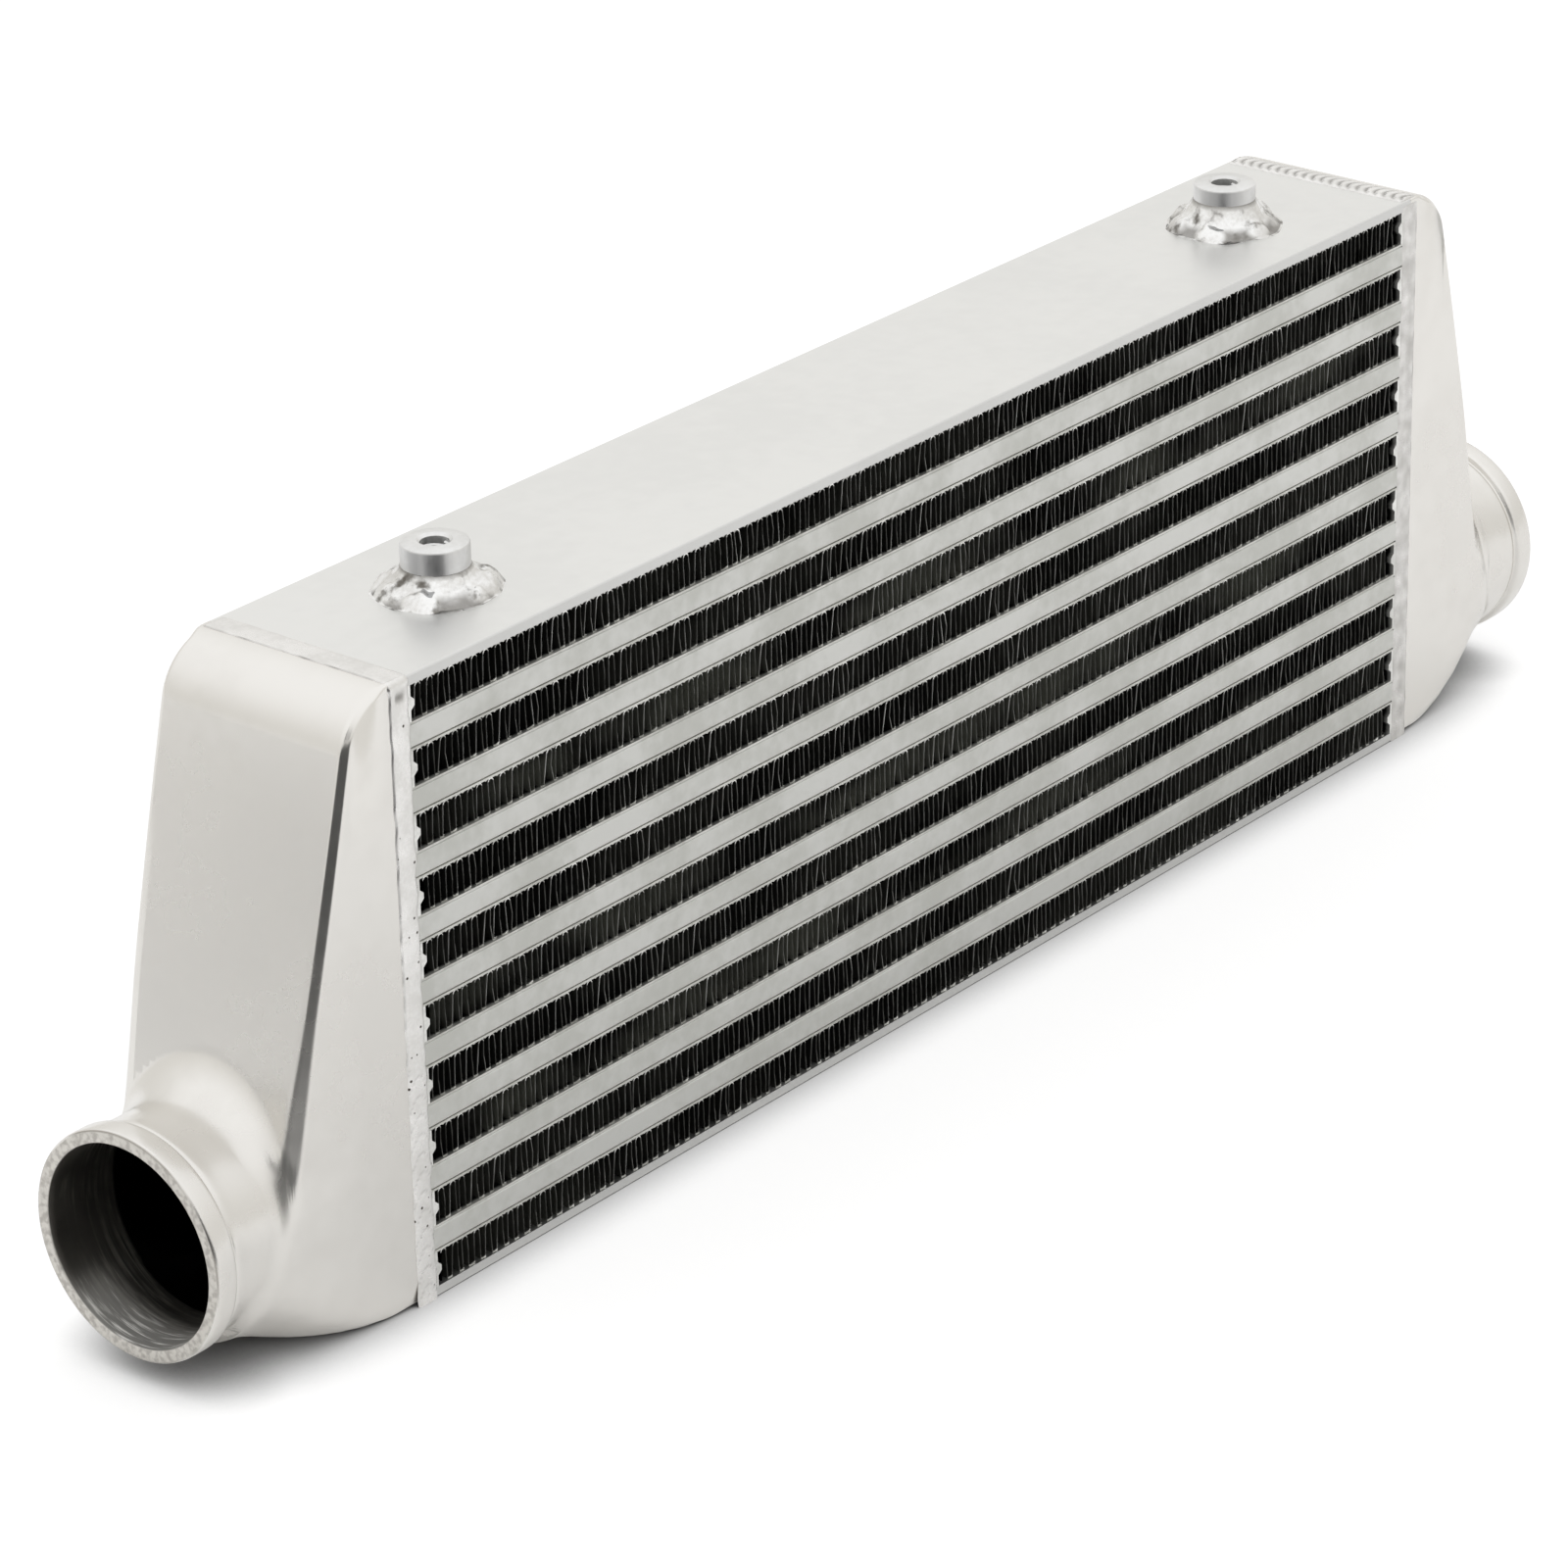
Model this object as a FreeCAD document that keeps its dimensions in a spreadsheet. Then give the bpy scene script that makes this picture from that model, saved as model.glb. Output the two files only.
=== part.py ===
import FreeCAD, Part
import math
import os
from Sketcher import Constraint as rule

# Air-to-air intercooler: a brazed bar-and-plate core between two cast end tanks.
# Frame: origin at the bottom centre of the core, X along the charge air, Y through
# the core with the front face at -Y, Z up. All lengths are in millimetres.

# Driving dimensions
DRIVING = [
    ("fin_length", 450.0, "length of the fins seen between the two tank welds"),
    ("fin_height", 10.2, "height of one row of outside-air fins"),
    ("fin_rows", 10, "number of rows of outside-air fins"),
    ("fin_waves", 28, "folds along one row of outside-air fins"),
    ("fin_gauge", 0.4, "sheet thickness of the outside-air fins"),
    ("fin_recess", 0.8, "how far the fins stand back from the core faces"),
    ("fin_end_gap", 0.3, "clearance between a fin row and the nose of its end bar"),
    ("core_depth", 66.0, "core thickness from front face to rear face"),
    ("end_bar_width", 5.0, "width of the short bars that close the ends of a fin row"),
    ("end_bar_nose", 1.4, "how far the nose of an end bar stands out towards the fins"),
    ("end_bar_nose_foot", 4.0, "height of that nose where it leaves the bar"),
    ("end_bar_nose_crown", 1.6, "height of the flat on that nose"),
    ("bar_height", 6.8, "height of the long bars, which is the charge air passage"),
    ("bar_width", 6.0, "width of the long bars, front to back"),
    ("bar_edge", 0.5, "bevel on the outer edges of the bars and covers"),
    ("sheet_gauge", 0.6, "thickness of a parting sheet"),
    ("cover_thickness", 3.0, "thickness of the top and bottom cover plates"),
    ("charge_waves", 4, "folds across one charge air turbulator"),
    ("charge_gauge", 0.5, "sheet thickness of the turbulators"),
    ("charge_side_gap", 0.2, "clearance between a turbulator and the long bars"),
    ("tank_top_reach", 16.8, "how far the outer wall stands out at the top of the tank"),
    ("tank_foot_reach", 60.7, "how far the outer wall would stand out at the floor"),
    ("tank_roof_flat", 5.8, "flat roof of the tank next to the core, before it rounds down"),
    ("tank_floor_flat", 7.2, "square foot of the tank next to the core, before it is turned"),
    ("foot_shoulder", 28.0, "from the end of the core to the shoulder of the turned foot"),
    ("foot_draw", 5.1, "how far the turned foot has drawn in at its shoulder"),
    ("foot_end", 54.0, "from the end of the core to where the turned foot meets the spigot"),
    ("tank_edge", 1.6, "bevel along the front and rear edges of the tank"),
    ("tank_wall", 3.5, "wall thickness of the casting"),
    ("spigot_reach", 76.0, "from the end of the core to the mouth of the spigot"),
    ("spigot_height", 39.0, "spigot axis above the bottom of the core"),
    ("spigot_radius", 31.0, "outer radius of the spigot behind its bead"),
    ("bore_radius", 28.8, "radius of the bore of the spigot"),
    ("bore_overlap", 15.0, "where the bore ends inside the tank, from the core end"),
    ("blend_radius", 12.0, "hollow blend from the outer wall onto the top of the spigot"),
    ("blend_flats", 3, "flats that follow the hollow of the blend"),
    ("lip_radius", 32.7, "outer radius of the bead at the mouth"),
    ("lip_length", 7.0, "length of the bead at the mouth"),
    ("lip_edge", 1.2, "bevel on the rear of the bead and on the front of the ridge behind it"),
    ("ridge_radius", 31.8, "radius of the low ridge behind the bead"),
    ("ridge_length", 2.4, "taper of the low ridge behind the bead"),
    ("boss_radius", 9.4, "outer radius of a threaded boss"),
    ("boss_height", 13.8, "height of a threaded boss above the cover plate"),
    ("boss_edge", 0.6, "chamfer round the top of a boss"),
    ("boss_inset", 47.0, "boss axis from the visible end of the fins"),
    ("thread_radius", 3.4, "core radius of the M8 thread in a boss"),
    ("thread_depth", 12.0, "depth of the threaded hole"),
    ("boss_weld_radius", 18.0, "radius of the weld round a boss on the cover plate"),
    ("boss_weld_height", 7.6, "height of the weld up the side of a boss"),
    ("boss_weld_toe", 1.4, "thickness of that weld near its outer edge"),
    ("boss_weld_toe_run", 1.0, "how far in from the outer edge it has that thickness"),
    ("boss_weld_waist", 3.6, "width of that weld at its hollow waist"),
    ("boss_weld_waist_height", 3.9, "height of the waist above the cover plate"),
    ("boss_weld_lumps", 12, "lumps round the weld of a boss"),
    ("boss_weld_lump", 0.5, "how far one lump stands out from the next hollow"),
    ("weld_on_core", 4.4, "how far the tank weld laps onto the core"),
    ("weld_on_tank", 3.6, "how far the tank weld laps onto the tank"),
    ("weld_rise", 1.0, "how far the tank weld stands proud"),
    ("weld_edge", 0.8, "bevel along both sides of the crown of the tank weld"),
]


class Size:
    """A length: its number, and the text that binds a property to the sheet."""

    def __init__(self, text, number):
        self.text = text
        self.number = float(number)

    def joined(self, sign, other, number):
        return Size(f"({self.text} {sign} {size_of(other).text})", number)

    def __add__(self, other):
        return self.joined("+", other, self.number + size_of(other).number)

    def __sub__(self, other):
        return self.joined("-", other, self.number - size_of(other).number)

    def __mul__(self, other):
        return self.joined("*", other, self.number * size_of(other).number)

    def __truediv__(self, other):
        return self.joined("/", other, self.number / size_of(other).number)

    def __neg__(self):
        return Size(f"(-1 * {self.text})", -self.number)

    def root(self):
        return Size(f"sqrt({self.text})", self.number ** 0.5)


def size_of(value):
    return value if isinstance(value, Size) else Size(repr(value), value)


doc = FreeCAD.newDocument("Intercooler")


# Sheet of driving dimensions
def make_sheet():
    sheet = doc.addObject("Spreadsheet::Sheet", "Sizes")
    sizes = {}
    for row, (alias, value, note) in enumerate(DRIVING, start=1):
        sheet.set(f"A{row}", note)
        sheet.set(f"B{row}", str(value))
        sheet.setAlias(f"B{row}", alias)
        sizes[alias] = Size(f"Sizes.{alias}", value)
    doc.recompute()
    return sizes


S = make_sheet()
ZERO = size_of(0)

# Sizes that follow from the driving ones
FIN_ROWS = int(S["fin_rows"].number)
PASSAGES = FIN_ROWS - 1
half_core = S["fin_length"] / 2 + S["end_bar_width"]
half_depth = S["core_depth"] / 2
layer = S["bar_height"] + S["sheet_gauge"] * 2
row_pitch = S["fin_height"] + layer
core_height = S["fin_rows"] * S["fin_height"] + (S["fin_rows"] - 1) * layer + S["cover_thickness"] * 2
wall_slope = (S["tank_foot_reach"] - S["tank_top_reach"]) / core_height
wall_stretch = (wall_slope * wall_slope + 1).root()
wall_across = S["tank_wall"] * wall_stretch
roof_radius = (S["tank_top_reach"] - S["tank_roof_flat"]) * (wall_stretch + wall_slope)
foot_corner = (half_depth * half_depth + S["spigot_height"] * S["spigot_height"]).root()
mouth = half_core + S["spigot_reach"]
boss_place = S["fin_length"] / 2 - S["boss_inset"]


# Helpers for the bodies
def bind(item, name, size):
    item.setExpression(name, size.text)


def new_body(name):
    body = doc.addObject("PartDesign::Body", name)
    body.Label = name
    return body


def plane_of(body, role):
    return next(item for item in body.Origin.OriginFeatures if item.Role == role)


def new_sketch(body, role, name, offset=None):
    sketch = body.newObject("Sketcher::SketchObject", f"{body.Name}_{name}")
    sketch.AttachmentSupport = [(plane_of(body, role), "")]
    sketch.MapMode = "FlatFace"
    if offset is not None:
        bind(sketch, ".AttachmentOffset.Base.z", offset)
    return sketch


def fix_point(sketch, line, across, up):
    """Hold the start of a line at a place measured from the sketch's origin."""
    for kind, place in (("DistanceX", across), ("DistanceY", up)):
        if place.number == 0:
            axis = -2 if kind == "DistanceX" else -1
            sketch.addConstraint(rule("PointOnObject", line, 1, axis))
            continue
        ends = (-1, 1, line, 1) if place.number > 0 else (line, 1, -1, 1)
        length = place if place.number > 0 else -place
        index = sketch.addConstraint(rule(kind, *ends, length.number))
        sketch.setExpression(f"Constraints[{index}]", length.text)


def outline(sketch, points):
    """Draw a closed outline of straight lines whose corners are bound to the sheet."""
    places = [FreeCAD.Vector(across.number, up.number, 0) for across, up in points]
    first = sketch.GeometryCount
    count = len(places)
    for index in range(count):
        sketch.addGeometry(Part.LineSegment(places[index], places[(index + 1) % count]))
    for index in range(count):
        after = first + (index + 1) % count
        sketch.addConstraint(rule("Coincident", first + index, 2, after, 1))
    for index, (across, up) in enumerate(points):
        fix_point(sketch, first + index, across, up)


def circle(sketch, up, radius):
    """Draw a circle on the upright axis of the sketch."""
    centre = FreeCAD.Vector(0, up.number, 0)
    index = sketch.addGeometry(Part.Circle(centre, FreeCAD.Vector(0, 0, 1), radius.number))
    sketch.addConstraint(rule("PointOnObject", index, 3, -2))
    height = sketch.addConstraint(rule("DistanceY", -1, 1, index, 3, up.number))
    sketch.setExpression(f"Constraints[{height}]", up.text)
    round_size = sketch.addConstraint(rule("Radius", index, radius.number))
    sketch.setExpression(f"Constraints[{round_size}]", radius.text)


def pad(body, name, sketch, length, both_ways=False):
    item = body.newObject("PartDesign::Pad", f"{body.Name}_{name}")
    item.Profile = sketch
    bind(item, "Length", length)
    if both_ways:
        item.SideType = "Symmetric"
    doc.recompute()
    return item


def revolve(body, name, sketch, axis, angle=360):
    item = body.newObject("PartDesign::Revolution", f"{body.Name}_{name}")
    item.Profile = sketch
    item.ReferenceAxis = (sketch, [axis])
    item.Angle = angle
    item.Midplane = angle < 360
    doc.recompute()
    return item


def dress_edges(body, kind, name, base, chosen, size):
    """Fillet or chamfer each edge of the base that the chosen test picks."""
    names = [f"Edge{index}" for index, edge in enumerate(base.Shape.Edges, start=1) if chosen(edge)]
    item = body.newObject(f"PartDesign::{kind}", f"{body.Name}_{name}")
    item.Base = (base, names)
    bind(item, "Radius" if kind == "Fillet" else "Size", size)
    doc.recompute()
    return item


def middle(edge):
    return edge.valueAt((edge.FirstParameter + edge.LastParameter) / 2)


def near(one, other):
    return abs(one - other) < 0.01


def place(item, x=ZERO, z=ZERO, turned=False):
    """Put a body at its place in the core, turned half round if it faces the other way."""
    turn = FreeCAD.Rotation(FreeCAD.Vector(0, 0, 1), 180 if turned else 0)
    item.Placement = FreeCAD.Placement(FreeCAD.Vector(x.number, 0, z.number), turn)
    bind(item, ".Placement.Base.x", x)
    bind(item, ".Placement.Base.z", z)


# Core: cover plates, long bars, end bars, parting sheets and fins
def make_cover(name, level):
    body = new_body(name)
    sketch = new_sketch(body, "YZ_Plane", "section")
    thick = S["cover_thickness"]
    outline(sketch, [(-half_depth, ZERO), (half_depth, ZERO), (half_depth, thick), (-half_depth, thick)])
    plate = pad(body, "plate", sketch, half_core * 2, both_ways=True)
    outer = 0 if level.number == 0 else thick.number
    dress_edges(body, "Chamfer", "edges", plate, lambda edge: edge.Length > S["fin_length"].number
                and near(middle(edge).z, outer), S["bar_edge"])
    place(body, z=level)
    return body


def make_bar(name, level, rear):
    body = new_body(name)
    sketch = new_sketch(body, "YZ_Plane", "section")
    inner = -(half_depth - S["bar_width"])
    tall = S["bar_height"]
    outline(sketch, [(-half_depth, ZERO), (inner, ZERO), (inner, tall), (-half_depth, tall)])
    bar = pad(body, "bar", sketch, half_core * 2, both_ways=True)
    dress_edges(body, "Chamfer", "edges", bar, lambda edge: edge.Length > S["fin_length"].number
                and near(middle(edge).y, -half_depth.number), S["bar_edge"])
    place(body, z=level, turned=rear)
    return body


def row_level(row):
    return S["cover_thickness"] + row_pitch * row


def passage_level(passage):
    return row_level(passage) + S["fin_height"] + S["sheet_gauge"]


def make_feature(name, shape, level=ZERO, turned=False):
    item = doc.addObject("Part::Feature", name)
    item.Label = name
    item.Shape = shape
    place(item, z=level, turned=turned)
    return item


def corrugation(width, height, gauge, waves, spot):
    """Face of a folded sheet that fills a slot; spot turns across and up into a point."""
    half_wave = width / (2 * waves)
    slant = (1 + (height / half_wave) ** 2) ** 0.5
    skin = gauge * slant / 2
    upper = []
    lower = []
    for fold in range(2 * waves + 1):
        across = fold * half_wave - width / 2
        crest = height - skin if fold % 2 else skin
        upper.append(spot(across, crest + skin))
        lower.append(spot(across, crest - skin))
    return Part.Face(Part.makePolygon(upper + lower[::-1] + upper[:1]))


def ambient_fin():
    width = S["fin_length"] - (S["end_bar_nose"] + S["fin_end_gap"]) * 2
    deep = S["core_depth"].number - 2 * S["fin_recess"].number
    face = corrugation(width.number, S["fin_height"].number, S["fin_gauge"].number,
                       int(S["fin_waves"].number), lambda x, z: FreeCAD.Vector(x, -deep / 2, z))
    return face.extrude(FreeCAD.Vector(0, deep, 0))


def charge_fin():
    width = S["core_depth"] - (S["bar_width"] + S["charge_side_gap"]) * 2
    end = half_core.number
    face = corrugation(width.number, S["bar_height"].number, S["charge_gauge"].number,
                       int(S["charge_waves"].number), lambda y, z: FreeCAD.Vector(-end, y, z))
    return face.extrude(FreeCAD.Vector(2 * end, 0, 0))


def end_bars():
    """The short bars at the right end, one for each fin row."""
    outer = half_core.number
    inner = outer - S["end_bar_width"].number
    nose = inner - S["end_bar_nose"].number
    tall = S["fin_height"].number
    foot = S["end_bar_nose_foot"].number / 2
    crown = S["end_bar_nose_crown"].number / 2
    bars = []
    for row in range(FIN_ROWS):
        base = row_level(row).number
        half = tall / 2
        corners = [(outer, 0), (outer, tall), (inner, tall), (inner, half + foot), (nose, half + crown),
                   (nose, half - crown), (inner, half - foot), (inner, 0), (outer, 0)]
        wire = Part.makePolygon([FreeCAD.Vector(x, -half_depth.number, base + z) for x, z in corners])
        bars.append(Part.Face(wire).extrude(FreeCAD.Vector(0, S["core_depth"].number, 0)))
    return Part.makeCompound(bars)


def parting_sheets():
    """One sheet under and one over each charge air passage."""
    sheets = []
    for passage in range(PASSAGES):
        under = passage_level(passage) - S["sheet_gauge"]
        over = passage_level(passage) + S["bar_height"]
        for level in (under, over):
            corner = FreeCAD.Vector(-half_core.number, -half_depth.number, level.number)
            sheets.append(Part.makeBox(2 * half_core.number, S["core_depth"].number,
                                       S["sheet_gauge"].number, corner))
    return Part.makeCompound(sheets)


def make_core():
    pieces = [make_cover("bottom_cover_plate", ZERO),
              make_cover("top_cover_plate", core_height - S["cover_thickness"])]
    outside = ambient_fin()
    inside = charge_fin()
    for row in range(FIN_ROWS):
        pieces.append(make_feature(f"ambient_fin_{row + 1:02d}", outside.copy(), row_level(row)))
    for passage in range(PASSAGES):
        level = passage_level(passage)
        pieces.append(make_feature(f"charge_fin_{passage + 1:02d}", inside.copy(), level))
        pieces.append(make_bar(f"front_bar_{passage + 1:02d}", level, rear=False))
        pieces.append(make_bar(f"rear_bar_{passage + 1:02d}", level, rear=True))
    closing = end_bars()
    pieces.append(make_feature("right_end_bars", closing))
    pieces.append(make_feature("left_end_bars", closing.copy(), turned=True))
    pieces.append(make_feature("parting_sheets", parting_sheets()))
    return pieces


# End tanks: a sloping cast shell that runs into a beaded spigot
def wedge(inset, across):
    """Corners of the tank's side above its turned foot, the wall taken off all round when inset."""
    roof = core_height - inset
    axis = S["spigot_height"]
    foot = half_core + S["tank_floor_flat"]
    wall_out = half_core + S["tank_foot_reach"] - across - wall_slope * axis
    roof_out = half_core + S["tank_top_reach"] - across + wall_slope * inset
    return [(half_core, inset), (foot, inset), (wall_out, axis), (roof_out, roof), (half_core, roof)]


def add_foot(body, inset):
    """The foot, turned about the spigot from the square end by the core down to the spigot."""
    axis = S["spigot_height"]
    start = half_core + S["tank_floor_flat"]
    end = half_core + S["foot_end"]
    radii = [(start, foot_corner), (half_core + S["foot_shoulder"], foot_corner - S["foot_draw"]),
             (end, S["spigot_radius"])]
    profile = new_sketch(body, "XZ_Plane", "foot_side")
    outline(profile, [(out, axis - radius + inset) for out, radius in radii] + [(end, axis), (start, axis)])
    add_axis(profile)
    revolve(body, "foot", profile, "Axis0", angle=180)


def trim_sides(body, inset, high):
    """Cut a body off flat at the tank's front, rear and floor."""
    side = half_depth - inset
    beyond = side + foot_corner
    trim = new_sketch(body, "YZ_Plane", "trim")
    outline(trim, [(side, high), (beyond, high), (beyond, -beyond), (-beyond, -beyond), (-beyond, high),
                   (-side, high), (-side, inset), (side, inset)])
    flat = body.newObject("PartDesign::Pocket", f"{body.Name}_sides")
    flat.Profile = trim
    flat.Type = "ThroughAll"
    flat.SideType = "Symmetric"
    doc.recompute()


def runs_across(edge, level):
    """True of an edge along Y at one height, on the outer wall of a tank."""
    where = middle(edge)
    level_edge = near(edge.Vertexes[0].Z, edge.Vertexes[-1].Z)
    return level_edge and near(where.z, level) and near(where.y, 0) and where.x > half_core.number + 1


def make_tank(name, left):
    body = new_body(f"{name}_casting")
    blank = new_sketch(body, "XZ_Plane", "side")
    outline(blank, wedge(ZERO, ZERO))
    shell = pad(body, "blank", blank, S["core_depth"], both_ways=True)
    roof = core_height.number
    shell = dress_edges(body, "Fillet", "roof", shell, lambda edge: runs_across(edge, roof), roof_radius)
    dress_edges(body, "Chamfer", "edges", shell, on_flank, S["tank_edge"])
    add_foot(body, ZERO)
    add_blend(body)
    trim_sides(body, ZERO, core_height)

    start = half_core + S["bore_overlap"]
    pipe = new_sketch(body, "YZ_Plane", "pipe", start)
    circle(pipe, S["spigot_height"], S["spigot_radius"])
    pad(body, "spigot", pipe, mouth - start)
    add_lip(body)
    tank = doc.addObject("Part::Cut", name)
    tank.Label = name
    tank.Base = body
    tank.Tool = make_sand_core(f"{name}_sand_core", start)
    doc.recompute()
    place(tank, turned=left)
    return tank


def add_axis(sketch):
    """Draw the spigot's axis as the line to turn a profile about."""
    axis = S["spigot_height"]
    line = sketch.addGeometry(Part.LineSegment(FreeCAD.Vector(0, axis.number, 0),
                                               FreeCAD.Vector(mouth.number, axis.number, 0)), True)
    sketch.addConstraint(rule("Horizontal", line))
    fix_point(sketch, line, ZERO, axis)
    end = sketch.addConstraint(rule("DistanceX", line, 1, line, 2, mouth.number))
    sketch.setExpression(f"Constraints[{end}]", mouth.text)


def hollow(centre_out, centre_up, radius):
    """Points along a hollow bend, from straight under its centre round to the slope of the wall."""
    lean = wall_slope / wall_stretch
    level = size_of(1) / wall_stretch
    flats = int(S["blend_flats"].number)
    points = []
    for step in range(flats + 1):
        rest = flats - step
        length = (lean * (2 * rest * step) + (rest * rest + step * step)).root()
        points.append((centre_out - radius * level * step / length,
                       centre_up - radius * (lean * step + rest) / length))
    return points


def add_blend(body):
    """The hollow blend over the spigot: tangent to the outer wall above, gone at the flanks."""
    radius = S["blend_radius"]
    axis = S["spigot_height"]
    neck = axis + S["spigot_radius"]
    centre_up = neck + radius
    centre_out = half_core + S["tank_foot_reach"] - wall_slope * centre_up + radius * wall_stretch
    bend = hollow(centre_out, centre_up, radius)
    on_wall, wall_up = bend[-1]
    root = axis + (S["bore_radius"] + S["spigot_radius"]) / 2
    inside = on_wall - S["tank_wall"]
    profile = new_sketch(body, "XZ_Plane", "blend_side")
    outline(profile, bend + [(inside, wall_up), (inside, root), (centre_out, root)])
    add_axis(profile)
    revolve(body, "blend", profile, "Axis0", angle=180)


def make_sand_core(name, start):
    """The room inside a tank as one solid: the chamber, and the bore out to the mouth."""
    wall = S["tank_wall"]
    body = new_body(name)
    side = new_sketch(body, "XZ_Plane", "side")
    outline(side, wedge(wall, wall_across))
    room = pad(body, "chamber", side, S["core_depth"] - wall * 2, both_ways=True)
    roof = core_height.number - wall.number
    dress_edges(body, "Fillet", "roof", room, lambda edge: runs_across(edge, roof), roof_radius - wall)
    add_foot(body, wall)
    trim_sides(body, wall, core_height - wall)
    bore = new_sketch(body, "YZ_Plane", "bore", start)
    circle(bore, S["spigot_height"], S["bore_radius"])
    pad(body, "bore_run", bore, mouth - start)
    return body


def on_flank(edge):
    """True of the edges of the flat front and rear of a tank, from the spigot's axis to the roof."""
    where = middle(edge)
    ends = [vertex.X for vertex in edge.Vertexes]
    at_core = near(max(ends), half_core.number)
    above = where.z > S["spigot_height"].number
    return near(abs(where.y), half_depth.number) and above and not at_core


def add_lip(body):
    """The bead at the mouth and the low ridge behind it, turned about the spigot axis."""
    profile = new_sketch(body, "XZ_Plane", "lip")
    axis = S["spigot_height"]
    root = axis + (S["bore_radius"] + S["spigot_radius"]) / 2
    crown = axis + S["lip_radius"]
    ridge = axis + S["ridge_radius"]
    neck = axis + S["spigot_radius"]
    bead_end = mouth - S["lip_length"]
    edge = S["lip_edge"]
    groove = bead_end - edge
    ridge_start = groove - edge
    ridge_end = ridge_start - S["ridge_length"]
    outline(profile, [(mouth, root), (mouth, crown), (bead_end, crown), (groove, neck),
                      (ridge_start, ridge), (ridge_end, neck), (ridge_end, root)])
    add_axis(profile)
    revolve(body, "bead", profile, "Axis0")


# Welds between the tanks and the core
def make_tank_weld(name, left):
    body = new_body(name)
    proud = half_depth + S["weld_rise"]
    crown = core_height + S["weld_rise"]
    section = new_sketch(body, "YZ_Plane", "hoop", half_core - S["weld_on_core"])
    outline(section, [(half_depth, ZERO), (proud, ZERO), (proud, crown), (-proud, crown),
                      (-proud, ZERO), (-half_depth, ZERO), (-half_depth, core_height), (half_depth, core_height)])
    hoop = pad(body, "run", section, S["weld_on_core"] + S["weld_on_tank"])
    dress_edges(body, "Chamfer", "crown", hoop, on_weld_crown, S["weld_edge"])
    place(body, turned=left)
    return body


def on_weld_crown(edge):
    where = middle(edge)
    along = near(edge.Vertexes[0].X, edge.Vertexes[-1].X)
    on_side = near(abs(where.y), half_depth.number + S["weld_rise"].number)
    on_top = near(where.z, core_height.number + S["weld_rise"].number)
    return along and edge.Length > S["weld_on_core"].number * 3 and (on_side or on_top)


# Threaded bosses on the top cover plate, and the weld round each
def turn_profile(name, points, x):
    body = new_body(name)
    sketch = new_sketch(body, "XZ_Plane", "profile")
    outline(sketch, points)
    revolve(body, "turned", sketch, "V_Axis")
    place(body, x=x, z=core_height)
    return body


def make_boss(name, x):
    wall = S["boss_radius"]
    tall = S["boss_height"]
    edge = S["boss_edge"]
    hole = S["thread_radius"]
    floor = tall - S["thread_depth"]
    return turn_profile(name, [(ZERO, ZERO), (wall, ZERO), (wall, tall - edge), (wall - edge, tall),
                               (hole + edge, tall), (hole, tall - edge), (hole, floor), (ZERO, floor)], x)


def make_boss_weld(name, x):
    """The lumpy ring of weld round a boss, one lump for each pause of the torch."""
    wall = S["boss_radius"].number
    toe = S["boss_weld_radius"].number
    depth = S["boss_weld_lump"].number / toe
    levels = [(toe, 0), (toe - S["boss_weld_toe_run"].number, S["boss_weld_toe"].number),
              (wall + S["boss_weld_waist"].number, S["boss_weld_waist_height"].number),
              (wall / (1 - 2 * depth), S["boss_weld_height"].number)]
    rings = [lumpy_ring(reach, depth, level) for reach, level in levels]
    faces = [Part.Face(Part.makePolygon(rings[0])), Part.Face(Part.makePolygon(rings[-1]))]
    for lower, upper in zip(rings, rings[1:]):
        for corner in range(len(lower) - 1):
            side = [lower[corner], lower[corner + 1], upper[corner + 1], upper[corner]]
            faces.append(Part.Face(Part.makePolygon(side + side[:1])))
    mound = Part.makeSolid(Part.makeShell(faces))
    hole = Part.makeCylinder(wall, S["boss_height"].number)
    weld = doc.addObject("Part::Feature", name)
    weld.Label = name
    weld.Shape = mound.cut(hole)
    place(weld, x=x, z=core_height)
    return weld


def lumpy_ring(reach, depth, level):
    """Corners about the Z axis that step in and out, by a share of the reach, from lump to lump."""
    corners = int(S["boss_weld_lumps"].number) * 2
    points = []
    for corner in range(corners + 1):
        turn = 2 * math.pi * (corner % corners) / corners
        out = reach * (1 - depth * (corner % 2))
        points.append(FreeCAD.Vector(out * math.cos(turn), out * math.sin(turn), level))
    return points


def check(pieces):
    """Stop if any object failed or any piece isn't a sound closed shape."""
    for item in doc.Objects:
        if "Invalid" in item.State or "Error" in item.State:
            raise RuntimeError(f"{item.Name} failed: {item.State}")
    for piece in pieces:
        if piece.Shape.isNull() or not piece.Shape.isValid() or not piece.Shape.Solids:
            raise RuntimeError(f"{piece.Label} has no sound shape")


def main():
    pieces = make_core()
    for side, left in (("left", True), ("right", False)):
        x = -boss_place if left else boss_place
        pieces.append(make_tank(f"{side}_tank", left))
        pieces.append(make_tank_weld(f"{side}_tank_weld", left))
        pieces.append(make_boss(f"{side}_boss", x))
        pieces.append(make_boss_weld(f"{side}_boss_weld", x))
    doc.recompute()
    check(pieces)
    os.makedirs("parts", exist_ok=True)
    for piece in pieces:
        piece.Shape.exportStep(f"parts/{piece.Label}.step")


main()
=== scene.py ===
"""Looks of an air-to-air intercooler: a brazed bar-and-plate core between two cast end tanks.

Lengths are in metres in the part's own frame. X runs along the core, the front face looks
towards -Y and Z is up, with the origin at the bottom centre of the core.
"""

import logging
import math
import random
from dataclasses import dataclass
from enum import Enum

import bmesh
import bpy
import numpy as np
from mathutils import Matrix, Vector, noise


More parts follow.
